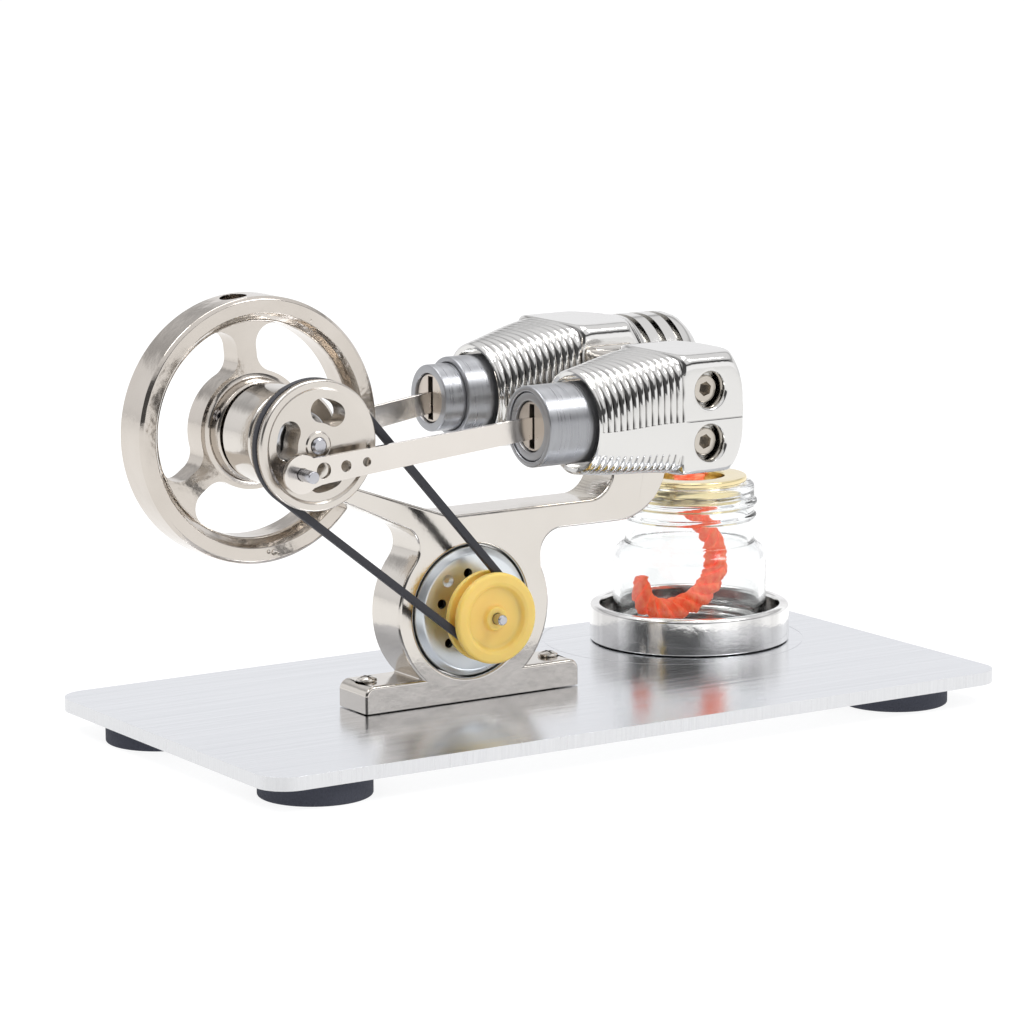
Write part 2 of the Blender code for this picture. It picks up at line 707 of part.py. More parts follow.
def build_motor():
    front, back = MOTOR_Y
    centre = (MOTOR_X, 0, MOTOR_Z)
    wall = 0.9
    shape = [
        (1.15, front - 1.1),
        (3.1, front - 1.1),
        (3.1, front),
        (MOTOR_RADIUS - 1.0, front),
        (MOTOR_RADIUS - 0.3, front + 0.3),
        (MOTOR_RADIUS, front + 1.0),
        (MOTOR_RADIUS, back),
        (MOTOR_RADIUS - wall, back),
        (MOTOR_RADIUS - wall, front + wall),
        (1.15, front + wall),
    ]
    can = add("motor_can", turned(shape, "Y", 48), centre, "zinc")
    for dx, dz in MOTOR_VENTS:
        cut(can, rod(0.9, front - 1, front + 3, "Y", 12), (MOTOR_X + dx, 0, MOTOR_Z + dz))
    magnet = tube(MOTOR_RADIUS - wall - GAP, 9.2, front + 2, back - 1.5, "Y", 40)
    add("motor_magnet", magnet, centre, "magnet")
    rim = MOTOR_RADIUS - 0.2
    cap = [
        (0, back + GAP),
        (rim, back + GAP),
        (rim, back + 1.5),
        (3.2, back + 1.5),
        (3.2, back + 2.3),
        (0, back + 2.3),
    ]
    add("motor_end_cap", turned(cap, "Y", 40), centre, "black_plastic")
    for name, x in (("left", -7.0), ("right", 7.0)):
        tab = block((x - 1.2, back + 1.8, -0.25), (x + 1.2, back + 4.6, 0.25))
        add(f"motor_terminal_{name}", tab, centre, "brass")

    axis = empty("motor_axis", centre)
    add("motor_shaft", rod(MOTOR_SHAFT_RADIUS, *MOTOR_SHAFT_Y, "Y", 20), centre, "steel", axis)
    bore = MOTOR_SHAFT_RADIUS + PIN_CLEARANCE
    core = [
        (bore, 36.4),
        (4.0, 36.4),
        (4.0, 37.0),
        (8.6, 37.0),
        (8.6, 42.6),
        (4.0, 42.6),
        (4.0, 43.6),
        (bore, 43.6),
    ]
    add("motor_armature", turned(core, "Y", 28), centre, "magnet", axis)
    near, far = PULLEY_Y
    groove = GROOVE_Y
    shape = [
        (1.12, near + 0.2),
        (2.2, near + 0.2),
        (2.4, near + 1.1),
        (6.0, near + 1.1),
        (6.1, near + 0.2),
        (6.5, near),
        (PULLEY_RADIUS - 0.5, near),
        (PULLEY_RADIUS, near + 0.4),
        (PULLEY_RADIUS, groove[0]),
        (PULLEY_GROOVE_RADIUS, groove[0]),
        (PULLEY_GROOVE_RADIUS, groove[1]),
        (PULLEY_RADIUS, groove[1]),
        (PULLEY_RADIUS, far - 0.3),
        (PULLEY_RADIUS - 0.5, far),
        (3.0, far),
        (1.12, far),
    ]
    add("motor_pulley", turned(shape, "Y", 48), centre, "yellow_nylon", axis)


def build_belt():
    """A square rubber belt: two arcs joined by the pulleys' common outer tangents."""
    dx, dz = MOTOR_X - SHAFT_X, MOTOR_Z - SHAFT_Z
    spread = hypot(dx, dz)
    heading = degrees(atan2(dz, dx))
    inner_big, inner_small = DISC_GROOVE_RADIUS + 0.3, PULLEY_GROOVE_RADIUS + 0.3
    lean = degrees(acos((inner_big - inner_small) / spread))
    path = []
    for cx, cz, radius, start, end, steps in (
        (0.0, 0.0, inner_big, heading + lean, heading - lean + 360, 40),
        (dx, dz, inner_small, heading - lean, heading + lean, 18),
    ):
        for i in range(steps + 1):
            a = radians(start + (end - start) * i / steps)
            path.append((cx + radius * cos(a), cz + radius * sin(a), cos(a), sin(a)))
    bm = bmesh.new()
    half = BELT_WIDTH / 2
    sections = []
    for x, z, nx, nz in path:
        outer = (x + nx * BELT_WIDTH, z + nz * BELT_WIDTH)
        corners = ((x, -half, z), (outer[0], -half, outer[1]), (outer[0], half, outer[1]), (x, half, z))
        sections.append([bm.verts.new(c) for c in corners])
    count = len(sections)
    for i in range(count):
        here, there = sections[i], sections[(i + 1) % count]
        for k in range(4):
            m = (k + 1) % 4
            bm.faces.new((here[k], here[m], there[m], there[k]))
    add("drive_belt", bm, (SHAFT_X, BELT_Y, SHAFT_Z), "black_rubber")


# ---------------------------------------------------------------- burner


def build_burner():
    base = empty("burner_axis", (BURNER_X, BURNER_Y, 0))
    centre = (BURNER_X, BURNER_Y, 0)
    shape = [
        (0, 0.2),
        (CUP_RADIUS - 0.3, 0.2),
        (CUP_RADIUS, 0.5),
        (CUP_RADIUS, CUP_HEIGHT - 0.9),
        (CUP_RADIUS - 0.3, CUP_HEIGHT - 0.25),
        (CUP_RADIUS - 0.9, CUP_HEIGHT),
        (CUP_INSIDE + 0.4, CUP_HEIGHT),
        (CUP_INSIDE, CUP_HEIGHT - 0.5),
        (CUP_INSIDE, CUP_FLOOR),
        (0, CUP_FLOOR),
    ]
    add("burner_cup", turned(shape, "Z", 48), centre, "nickel", base)

    body = JAR_RADIUS - JAR_WALL
    neck = JAR_NECK - JAR_WALL
    outside = [
        (0, JAR_BOTTOM),
        (JAR_RADIUS - 1.2, JAR_BOTTOM),
        (JAR_RADIUS, JAR_BOTTOM + 1.2),
        (JAR_RADIUS, 17.0),
        (JAR_RADIUS - 0.6, 18.7),
        (JAR_NECK + 0.9, 19.8),
        (JAR_NECK, 20.4),
        (JAR_NECK, 24.4),
        (JAR_NECK + 0.65, 25.0),
        (JAR_NECK, 25.6),
        (JAR_NECK, 27.1),
        (JAR_NECK + 1.05, 27.7),
        (JAR_NECK, 28.3),
        (JAR_NECK, JAR_TOP - 0.3),
        (JAR_NECK - 0.3, JAR_TOP),
    ]
    inside = [
        (JAR_LIP_BORE, JAR_TOP),
        (JAR_LIP_BORE, 29.6),
        (neck, 28.8),
        (neck, 19.9),
        (body - 0.8, 18.0),
        (body, 16.6),
        (body, JAR_BOTTOM + 2.4),
        (body - 1.0, JAR_BOTTOM + 1.4),
        (0, JAR_BOTTOM + 1.4),
    ]
    add("fuel_jar", turned(outside + inside, "Z", 40), centre, "glass", base)
    flange_radius, flange = HOLDER_FLANGE
    plug_radius, plug_bottom = HOLDER_PLUG
    shape = [
        (HOLDER_HOLE, plug_bottom),
        (plug_radius, plug_bottom),
        (plug_radius, HOLDER_TOP - flange),
        (flange_radius, HOLDER_TOP - flange),
        (flange_radius, HOLDER_TOP - 0.2),
        (flange_radius - 0.4, HOLDER_TOP),
        (HOLDER_HOLE, HOLDER_TOP),
    ]
    add("wick_holder", turned(shape, "Z", 40), centre, "brass", base)
    build_wick(base)


def smooth_route(points, spacing):
    """A Catmull-Rom curve through the points, read at an even spacing."""
    padded = [2 * points[0] - points[1]] + points + [2 * points[-1] - points[-2]]
    fine = []
    for before, here, there, after in zip(padded, padded[1:], padded[2:], padded[3:]):
        for step in range(12):
            t = step / 12
            fine.append(
                0.5 * (2 * here + (there - before) * t + (2 * before - 5 * here + 4 * there - after) * t**2
                       + (3 * here - before - 3 * there + after) * t**3)
            )
    fine.append(points[-1])
    even = [fine[0]]
    for point in fine[1:-1]:
        if (point - even[-1]).length >= spacing:
            even.append(point)
    return even + [fine[-1]]


def build_wick(base):
    """The free wick: a limp cord from the holder down to the jar's floor."""
    centre = (BURNER_X, BURNER_Y, 0)
    route = [Vector((x - BURNER_X, 0, z)) * MM for x, z in WICK_ROUTE]
    points = smooth_route(route, 2.0 * MM)
    curve = bpy.data.curves.new("wick", "CURVE")
    curve.dimensions = "3D"
    curve.bevel_depth = WICK_RADIUS * MM
    curve.bevel_resolution = 3
    curve.use_fill_caps = True
    line = curve.splines.new("POLY")
    line.points.add(len(points) - 1)
    for target, point in zip(line.points, points):
        target.co = (*point, 1.0)
    wick = bpy.data.objects.new("wick", curve)
    bpy.context.scene.collection.objects.link(wick)
    wick.parent = base
    wick.location = world(*centre) - world(*base["place"])
    curve.materials.append(material("cotton"))


def build():
    for obj in list(bpy.data.objects):
        bpy.data.objects.remove(obj)
    build_base()
    build_frame()
    build_crank()
    for side in CYLINDERS:
        build_cylinder(side)
    build_casing_screws()
    build_motor()
    build_belt()
    build_burner()


build()
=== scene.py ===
"""Studio scene of a twin-cylinder hot-air engine model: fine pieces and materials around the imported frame.

Shapes are written in millimetres in the plate's own frame: X along the plate's long side, Y away from
its front edge, Z up from its top face. world() turns them into the frame's metres.
"""

import json
from math import asin, atan2, cos, degrees, exp, hypot, log, pi, radians, sin, sqrt, tan

import bmesh
import bpy
from mathutils import Matrix, Vector, noise

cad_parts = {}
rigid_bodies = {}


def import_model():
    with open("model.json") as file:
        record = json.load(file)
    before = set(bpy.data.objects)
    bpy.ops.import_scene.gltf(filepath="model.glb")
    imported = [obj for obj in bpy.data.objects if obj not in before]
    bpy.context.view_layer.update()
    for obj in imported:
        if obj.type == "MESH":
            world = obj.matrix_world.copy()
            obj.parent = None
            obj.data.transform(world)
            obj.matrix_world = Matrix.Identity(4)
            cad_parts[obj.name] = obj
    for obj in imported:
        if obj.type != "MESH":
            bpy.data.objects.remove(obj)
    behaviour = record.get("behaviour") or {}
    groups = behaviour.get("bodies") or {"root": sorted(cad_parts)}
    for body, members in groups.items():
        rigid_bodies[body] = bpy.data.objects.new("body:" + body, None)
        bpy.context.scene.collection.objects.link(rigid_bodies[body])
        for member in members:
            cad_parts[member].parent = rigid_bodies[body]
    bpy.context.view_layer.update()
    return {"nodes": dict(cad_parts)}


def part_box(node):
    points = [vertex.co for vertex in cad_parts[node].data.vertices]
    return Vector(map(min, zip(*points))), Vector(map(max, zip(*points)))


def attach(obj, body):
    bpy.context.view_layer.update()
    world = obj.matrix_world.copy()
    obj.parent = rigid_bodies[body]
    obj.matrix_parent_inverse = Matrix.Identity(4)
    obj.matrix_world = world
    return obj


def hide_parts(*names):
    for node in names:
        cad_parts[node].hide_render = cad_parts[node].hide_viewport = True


MM = 0.001
PLATE = (161.0, 83.0, 2.5)
PLATE_CORNER = 6.0
FOOT_HEIGHT = 4.0
SHAFT_X, SHAFT_Z = 24.6, 52.45
MOTOR_X, MOTOR_Z = 61.93, 16.98
BURNER_X, BURNER_Y = 128.7, 59.05
FRAME_Y = (34.1, 44.1)
CRANK_RADIUS = 6.7
FRONT_CRANK_ANGLE = 219.5
REAR_CRANK_ANGLE = 309.5
SPOKE_ANGLES = (95.0, 217.0, 335.0)
CASING_SCREW_X = 99.8
CASING_SCREW_Z = (57.8, 48.0)
CYLINDERS = {
    "front": dict(y=22.5, z=52.45, half=11.2, end=107.2, liner=(67.0, 96.5), rod=52.0, piston=67.3),
    "rear": dict(y=56.4, z=53.6, half=12.0, end=124.0, liner=(71.1, 118.0), rod=44.0, piston=66.6),
}
RIB_PITCH = 1.3
RIB_DEPTH = 0.4
RIBS = (76.9, 94.4)
BACK_WALL = (0.54, 0.84, 0.0)
DARK_WALL = (-0.88, -0.47, 0.0)


def world(x, y, z):
    return Vector((x - PLATE[0] / 2, y - PLATE[1] / 2, z + PLATE[2] + FOOT_HEIGHT)) * MM


# ---------------------------------------------------------------- materials


class Shader:
    """A new material and short ways to add nodes to it; coordinates are the piece's own, in metres."""

    def __init__(self, name, colour, roughness, metallic=0.0):
        self.material = bpy.data.materials.new(name)
        self.material.use_nodes = True
        self.tree = self.material.node_tree
        self.bsdf = self.tree.nodes["Principled BSDF"]
        self.set("Base Color", (*colour, 1.0))
        self.set("Roughness", roughness)
        self.set("Metallic", metallic)
        self.place = self.tree.nodes.new("ShaderNodeTexCoord").outputs["Object"]

    def set(self, socket, value):
        self.bsdf.inputs[socket].default_value = value

    def link(self, source, target):
        self.tree.links.new(source, target)

    def stretch(self, scale, place=None):
        made = self.tree.nodes.new("ShaderNodeMapping")
        made.inputs["Scale"].default_value = scale
        self.link(place or self.place, made.inputs["Vector"])
        return made.outputs["Vector"]

    def noise(self, scale, detail=3.0, stretch=None):
        made = self.tree.nodes.new("ShaderNodeTexNoise")
        made.inputs["Scale"].default_value = scale
        made.inputs["Detail"].default_value = detail
        self.link(self.stretch(stretch) if stretch else self.place, made.inputs["Vector"])
        return made.outputs["Fac"]

    def ramp(self, value, low, high, out_low, out_high):
        made = self.tree.nodes.new("ShaderNodeMapRange")
        for name, number in (("From Min", low), ("From Max", high), ("To Min", out_low), ("To Max", out_high)):
            made.inputs[name].default_value = number
        self.link(value, made.inputs["Value"])
        return made.outputs["Result"]

    def tint(self, value, dark, light):
        """Base colour that varies between two colours."""
        made = self.tree.nodes.new("ShaderNodeMix")
        made.data_type = "RGBA"
        made.inputs["A"].default_value = (*dark, 1.0)
        made.inputs["B"].default_value = (*light, 1.0)
        self.link(value, made.inputs["Factor"])
        self.link(made.outputs["Result"], self.bsdf.inputs["Base Color"])

    def rough(self, value, low, high):
        self.link(self.ramp(value, 0.3, 0.7, low, high), self.bsdf.inputs["Roughness"])

    def bump(self, *layers):
        """Bumps from (height, depth in metres) layers, one on top of the other."""
        normal = None
        for height, depth in layers:
            made = self.tree.nodes.new("ShaderNodeBump")
            made.inputs["Strength"].default_value = 1.0
            made.inputs["Distance"].default_value = depth
            self.link(height, made.inputs["Height"])
            if normal:
                self.link(normal, made.inputs["Normal"])
            normal = made.outputs["Normal"]
        self.link(normal, self.bsdf.inputs["Normal"])


def nickel(name, light=(0.72, 0.685, 0.645), dark=(0.65, 0.61, 0.565), roughness=(0.09, 0.17), wave=1.0):
    """Polished nickel plate over a casting: slow waves, fine pits and slightly cloudy gloss."""
    made = Shader(name, light, roughness[0], 1.0)
    made.tint(made.noise(90.0), dark, light)
    made.rough(made.noise(160.0, 5.0), *roughness)
    made.bump(
        (made.noise(110.0, 1.0), 0.00012 * wave),
        (made.noise(330.0, 2.0), 0.00005 * wave),
        (made.noise(1500.0, 3.0), 0.000008),
    )
    return made.material


def grooved_nickel():
    """Casing plate with painted shade and painted dark reflections, darkest where a mesh attribute is high: in the rib
    valleys, in two bands across the ribs and along the seam.
    """
    made = Shader("casing_nickel", (0.76, 0.755, 0.74), 0.1, 1.0)
    groove_shade = made.tree.nodes.new("ShaderNodeAttribute")
    groove_shade.attribute_name = "groove_shade"
    # Painted shade: the colour runs from the plate's own tone to near black as the attribute rises.
    made.tint(made.ramp(groove_shade.outputs["Fac"], 0.20, 0.90, 1.0, 0.0), (0.035, 0.03, 0.03), (0.69, 0.682, 0.665))
    made.rough(made.noise(160.0, 5.0), 0.06, 0.14)
    made.bump((made.noise(110.0, 1.0), 0.00012), (made.noise(330.0, 2.0), 0.00004), (made.noise(1500.0, 3.0), 0.000006))
    return made.material


def pebbled_nickel():
    """Drawn cup metal: pebbly skin with upright bands."""
    made = Shader("cup_nickel", (0.80, 0.79, 0.77), 0.12, 1.0)
    band = made.noise(95.0, 3.0, (1.0, 1.0, 0.06))
    made.tint(made.ramp(band, 0.36, 0.58, 0.0, 1.0), (0.60, 0.59, 0.58), (0.97, 0.965, 0.95))
    made.rough(made.noise(200.0, 5.0), 0.08, 0.18)
    made.bump((band, 0.00012), (made.noise(420.0, 2.0), 0.00003), (made.noise(1500.0, 3.0), 0.000015))
    return made.material


def turned_metal(name, colour, dark, roughness, axis, scale=2600.0):
    """Machined metal with fine rings round the named axis."""
    made = Shader(name, colour, roughness[0], 1.0)
    stretch = [0.04, 0.04, 0.04]
    stretch["XYZ".index(axis)] = 1.0
    rings = made.noise(scale, 4.0, stretch)
    made.tint(rings, dark, colour)
    made.rough(rings, *roughness)
    made.bump((rings, 0.000012))
    return made.material


def brushed_plate():
    made = Shader("brushed_aluminium", (0.80, 0.82, 0.85), 0.2, 1.0)
    grain = made.noise(1500.0, 5.0, (0.010, 1.0, 1.0))
    fine = made.noise(9000.0, 2.0, (0.02, 1.0, 1.0))
    made.tint(made.ramp(grain, 0.3, 0.7, 0.0, 1.0), (0.67, 0.687, 0.72), (0.80, 0.815, 0.845))
    made.rough(grain, 0.15, 0.25)
    made.bump((grain, 0.000006), (fine, 0.000002), (made.noise(40.0, 1.0), 0.00004))
    return made.material


def sawn_edge():
    made = Shader("plate_edge", (0.80, 0.81, 0.83), 0.3, 1.0)
    grain = made.noise(2300.0, 3.0, (1.0, 1.0, 0.05))
    made.tint(grain, (0.58, 0.585, 0.60), (0.82, 0.825, 0.835))
    made.rough(grain, 0.25, 0.5)
    made.bump((grain, 0.00003))
    return made.material


def dark_satin(name, axis):
    """The bluish grey of a honed cylinder."""
    made = Shader(name, (0.36, 0.365, 0.38), 0.3, 0.85)
    stretch = [0.05, 0.05, 0.05]
    stretch["XYZ".index(axis)] = 1.0
    rings = made.noise(2400.0, 4.0, stretch)
    made.tint(rings, (0.26, 0.265, 0.28), (0.44, 0.445, 0.46))
    made.rough(rings, 0.24, 0.42)
    made.bump((rings, 0.00002))
    return made.material


def zinc_sheet():
    made = Shader("zinc_sheet", (0.74, 0.78, 0.80), 0.3, 1.0)
    cloud = made.noise(220.0, 4.0)
    made.tint(cloud, (0.64, 0.68, 0.70), (0.80, 0.83, 0.85))
    made.rough(cloud, 0.26, 0.42)
    made.bump((made.noise(500.0, 2.0), 0.00002))
    return made.material


def nylon(name, light, dark, roughness=0.38):
    made = Shader(name, light, roughness)
    made.set("Subsurface Weight", 0.4)
    made.set("Subsurface Radius", (0.004, 0.0025, 0.0008))
    made.set("Subsurface Scale", 1.0)
    made.tint(made.noise(120.0), dark, light)
    made.rough(made.noise(700.0, 4.0), roughness - 0.05, roughness + 0.08)
    made.bump((made.noise(900.0, 3.0), 0.000012))
    return made.material


def matt(name, light, dark, roughness, grain, depth):
    """Rubber, foam and other matt pieces with an even grain."""
    made = Shader(name, light, roughness)
    speckle = made.noise(grain, 4.0)
    made.tint(speckle, dark, light)
    made.rough(speckle, roughness - 0.08, min(1.0, roughness + 0.08))
    made.bump((speckle, depth))
    return made.material


def clear_glass():
    made = Shader("clear_glass", (0.955, 0.965, 0.965), 0.0)
    made.set("Transmission Weight", 1.0)
    made.set("IOR", 1.46)
    made.bump((made.noise(70.0, 1.0), 0.00006))
    return made.material


def cotton():
    """Dyed cotton with a painted glow: short fibres that lie along the strands, paler where they catch the light."""
    made = Shader("dyed_cotton_painted_glow", (1.0, 0.18, 0.06), 0.85)
    fibre = made.noise(900.0, 6.0, (1.0, 1.0, 0.45))
    made.tint(made.ramp(fibre, 0.35, 0.65, 0.0, 1.0), (0.92, 0.09, 0.035), (1.0, 0.33, 0.15))
    # Painted glow: a weak red emission stands in for the light that the glass jar keeps off the wick.
    made.set("Emission Color", (1.0, 0.13, 0.045, 1.0))
    made.set("Emission Strength", 0.38)
    made.rough(fibre, 0.75, 0.95)
    made.set("Sheen Weight", 0.12)
    made.set("Sheen Roughness", 0.5)
    made.set("Subsurface Weight", 0.2)
    made.set("Subsurface Radius", (0.002, 0.0007, 0.0004))
    made.set("Subsurface Scale", 1.0)
    made.bump((fibre, 0.0008))
    return made.material


def white_floor():
    made = Shader("white_floor", (0.22, 0.22, 0.22), 0.9)
    made.set("Specular IOR Level", 0.0)
    made.set("Emission Color", (1.0, 1.0, 1.0, 1.0))
    made.set("Emission Strength", 0.86)
    return made.material


# ---------------------------------------------------------------- shapes


def along(axis, u, v, w):
    """A point with w along the named axis and u, v across it, in right-handed order."""
    return {"X": (w, u, v), "Y": (v, w, u), "Z": (u, v, w)}[axis]


def arc(cx, cz, radius, start, end, steps):
    angles = [radians(start + (end - start) * i / steps) for i in range(steps + 1)]
    return [(cx + radius * cos(a), cz + radius * sin(a)) for a in angles]


def filleted(corners, steps=5):
    """A closed outline from (x, z) or (x, z, fillet radius) corners."""
    points = []
    count = len(corners)
    for i, corner in enumerate(corners):
        radius = corner[2] if len(corner) > 2 else 0
        if not radius:
            points.append(tuple(corner[:2]))
            continue
        here = Vector(corner[:2])
        before = (Vector(corners[i - 1][:2]) - here).normalized()
        after = (Vector(corners[(i + 1) % count][:2]) - here).normalized()
        half = before.angle(after) / 2
        centre = here + (before + after).normalized() * radius / sin(half)
        first = here + before * radius / tan(half)
        last = here + after * radius / tan(half)
        a0 = atan2(first.y - centre.y, first.x - centre.x)
        a1 = atan2(last.y - centre.y, last.x - centre.x)
        sweep = (a1 - a0 + pi) % (2 * pi) - pi
        for step in range(steps + 1):
            a = a0 + sweep * step / steps
            points.append((centre.x + radius * cos(a), centre.y + radius * sin(a)))
    return points


def turned(corners, axis="Z", segments=128, steps=4):
    """A closed profile of (radius, height) or (radius, height, fillet) corners spun about an axis."""
    profile = filleted(corners, steps)
    bm = bmesh.new()
    rings = []
    for radius, height in profile:
        if radius < 1e-6:
            rings.append([bm.verts.new(along(axis, 0.0, 0.0, height))])
            continue
        ring = []
        for i in range(segments):
            a = 2 * pi * i / segments
            ring.append(bm.verts.new(along(axis, radius * cos(a), radius * sin(a), height)))
        rings.append(ring)
    for here, there in zip(rings, rings[1:] + rings[:1]):
        if len(here) == 1 and len(there) == 1:
            continue
        for i in range(segments):
            j = (i + 1) % segments
            if len(here) == 1:
                bm.faces.new((here[0], there[i], there[j]))
            elif len(there) == 1:
                bm.faces.new((here[i], there[0], here[j]))
            else:
                bm.faces.new((here[i], there[i], there[j], here[j]))
    bmesh.ops.recalc_face_normals(bm, faces=bm.faces)
    return bm


def rod(radius, start, end, axis, segments=64, edge=0.0):
    corners = [(0, start), (radius, start, edge), (radius, end, edge), (0, end)]
    return turned(corners, axis, segments, 3)


def slab(outline, y_low, y_high):
    """An outline of (x, z) points extruded along Y."""
    bm = bmesh.new()
    front = [bm.verts.new((x, y_low, z)) for x, z in outline]
    back = [bm.verts.new((x, y_high, z)) for x, z in outline]
    bm.faces.new(front)
    bm.faces.new(back[::-1])
    count = len(outline)
    for i in range(count):
        j = (i + 1) % count
        bm.faces.new((front[i], back[i], back[j], front[j]))
    bmesh.ops.recalc_face_normals(bm, faces=bm.faces)
    return bm


def bean(middle, cap, start, end, y_low, y_high):
    outline = []
    for angle, turn_from in ((end, end), (start, start + 180)):
        cx, cz = middle * cos(radians(angle)), middle * sin(radians(angle))
        outline += arc(cx, cz, cap, turn_from, turn_from + 180, 14)
        if angle == end:
            outline += arc(0, 0, middle - cap, end, start, 12)[1:-1]
        else:
            outline += arc(0, 0, middle + cap, start, end, 12)[1:-1]
    return slab(outline, y_low, y_high)


def spoke_window(before, after, y_low, y_high, inner=11.0, outer=19.8, fillet=3.6, half_width=2.0):
    """The opening between two spokes that run straight out at these angles, with filleted corners."""
    reach = half_width + fillet
    near, far = inner + fillet, outer - fillet
    near_lean, far_lean = degrees(asin(reach / near)), degrees(asin(reach / far))
    corners = (
        (far, before + far_lean, before - 90, before + far_lean),
        (far, after - far_lean, after - far_lean, after + 90),
        (near, after - near_lean, after + 90, after - near_lean + 180),
        (near, before + near_lean, before + near_lean + 180, before + 270),
    )
    outline = []
    for i, (radius, angle, turn_from, turn_to) in enumerate(corners):
        cx, cz = radius * cos(radians(angle)), radius * sin(radians(angle))
        outline += arc(cx, cz, fillet, turn_from, turn_to, 12)
        if i == 0:
            outline += arc(0, 0, outer, before + far_lean, after - far_lean, 28)[1:-1]
        if i == 2:
            outline += arc(0, 0, inner, after - near_lean, before + near_lean, 24)[1:-1]
    return slab(outline, y_low, y_high)


def to_mesh(name, bm, place=(0, 0, 0), turn=0.0):
    """A mesh in the frame's metres from a bmesh in millimetres about place, turned about Y there."""
    spin = Matrix.Rotation(turn, 3, "Y")
    origin = world(*place)
    for vert in bm.verts:
        vert.co = origin + spin @ vert.co * MM
    mesh = bpy.data.meshes.new(name)
    bm.to_mesh(mesh)
    bm.free()
    return mesh


def evaluated(obj):
    """Replaces an object's mesh by what its modifiers make of it."""
    bpy.context.view_layer.update()
    graph = bpy.context.evaluated_depsgraph_get()
    mesh = bpy.data.meshes.new_from_object(obj.evaluated_get(graph), preserve_all_data_layers=True, depsgraph=graph)
    obj.modifiers.clear()
    obj.data = mesh


def join_flats(mesh):
    """Merges the faces that a cut left lying in one plane, so that edges round evenly."""
    bm = bmesh.new()
    bm.from_mesh(mesh)
    bmesh.ops.dissolve_limit(bm, angle_limit=radians(0.6), verts=bm.verts, edges=bm.edges)
    bm.to_mesh(mesh)
    bm.free()


def mark_edges(mesh):
    """Weights for rounding every corner edge but those round the underside."""
    bm = bmesh.new()
    bm.from_mesh(mesh)
    layer = bm.edges.layers.float.new("bevel_weight_edge")
    lowest = min(vert.co.z for vert in bm.verts) + 0.3 * MM
    for edge in bm.edges:
        corner = edge.calc_face_angle(0.0) > radians(32)
        edge[layer] = float(corner and max(vert.co.z for vert in edge.verts) > lowest)
    bm.to_mesh(mesh)
    bm.free()


def piece(name, bm, place, body, nodes, paint, bevel=0.0, cuts=(), turn=0.0, sharp=35, standing=False):
    """A finished piece: cut, edges rounded, painted, and riding on its body in place of its CAD nodes."""
    obj = bpy.data.objects.new(name, to_mesh(name, bm, place, turn))
    bpy.context.scene.collection.objects.link(obj)
    cutters = []
    for cutter, spot, *lean in cuts:
        tool = bpy.data.objects.new(f"{name}.cutter", to_mesh("cutter", cutter, spot, lean[0] if lean else 0.0))
        bpy.context.scene.collection.objects.link(tool)
        step = obj.modifiers.new("Cut", "BOOLEAN")
        step.operation = "DIFFERENCE"
        step.solver = "EXACT"
        step.object = tool
        cutters.append(tool)
    if cutters:
        evaluated(obj)
    for tool in cutters:
        bpy.data.objects.remove(tool)
    if cutters and bevel:
        join_flats(obj.data)
    obj.data.shade_smooth()
    if bevel:
        rounding = obj.modifiers.new("Edges", "BEVEL")
        rounding.width = bevel * MM
        rounding.segments = 3
        rounding.limit_method = "ANGLE"
        rounding.angle_limit = radians(32)
        rounding.use_clamp_overlap = True
        if standing:
            mark_edges(obj.data)
            rounding.limit_method = "WEIGHT"
            rounding.use_clamp_overlap = False
            evaluated(obj)
            obj.data.set_sharp_from_angle(angle=radians(50))
        obj.modifiers.new("Normals", "WEIGHTED_NORMAL").keep_sharp = standing
        evaluated(obj)
    else:
        obj.data.set_sharp_from_angle(angle=radians(sharp))
    obj.data.materials.clear()
    obj.data.materials.append(paint)
    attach(obj, body)
    if nodes:
        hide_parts(*([nodes] if isinstance(nodes, str) else nodes))
    return obj


def crank_pin_place(angle):
    a = radians(angle)
    return SHAFT_X + CRANK_RADIUS * cos(a), SHAFT_Z + CRANK_RADIUS * sin(a)


# ---------------------------------------------------------------- plate and feet


def build_base(paint):
    length, width, thick = PLATE
    corners = [(0, 0, PLATE_CORNER), (length, 0, PLATE_CORNER), (length, width, PLATE_CORNER), (0, width, PLATE_CORNER)]
    bm = slab(filleted(corners, 14), 0, thick)
    for vert in bm.verts:
        vert.co = (vert.co.x, vert.co.z, -vert.co.y)
    bmesh.ops.recalc_face_normals(bm, faces=bm.faces)
    ring = turned([(25.8, -0.05), (25.95, -0.05), (25.95, 1), (25.8, 1)], "Z", 160, 1)
    plate = piece("plate", bm, (0, 0, 0), "base", "base_plate", paint["plate"], 0.25,
                  [(ring, (BURNER_X - 2.8, BURNER_Y + 1.8, 0))])
    plate.data.materials.append(paint["plate_edge"])
    for face in plate.data.polygons:
        if abs(face.normal.z) < 0.5:
            face.material_index = 1
    for node in frame["nodes"]:
        if not node.startswith("foot_"):
            continue
        low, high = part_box(node)
        centre = (low + high) / 2 / MM
        place = (centre.x + PLATE[0] / 2, centre.y + PLATE[1] / 2, -thick - FOOT_HEIGHT)
        pad = turned([(0, 0), (10.25, 0, 0.35), (10.25, 3.7, 0.2), (0, 3.7)], "Z", 96)
        piece(f"{node}_pad", pad, place, "base", node, paint["foam"])


# ---------------------------------------------------------------- frame


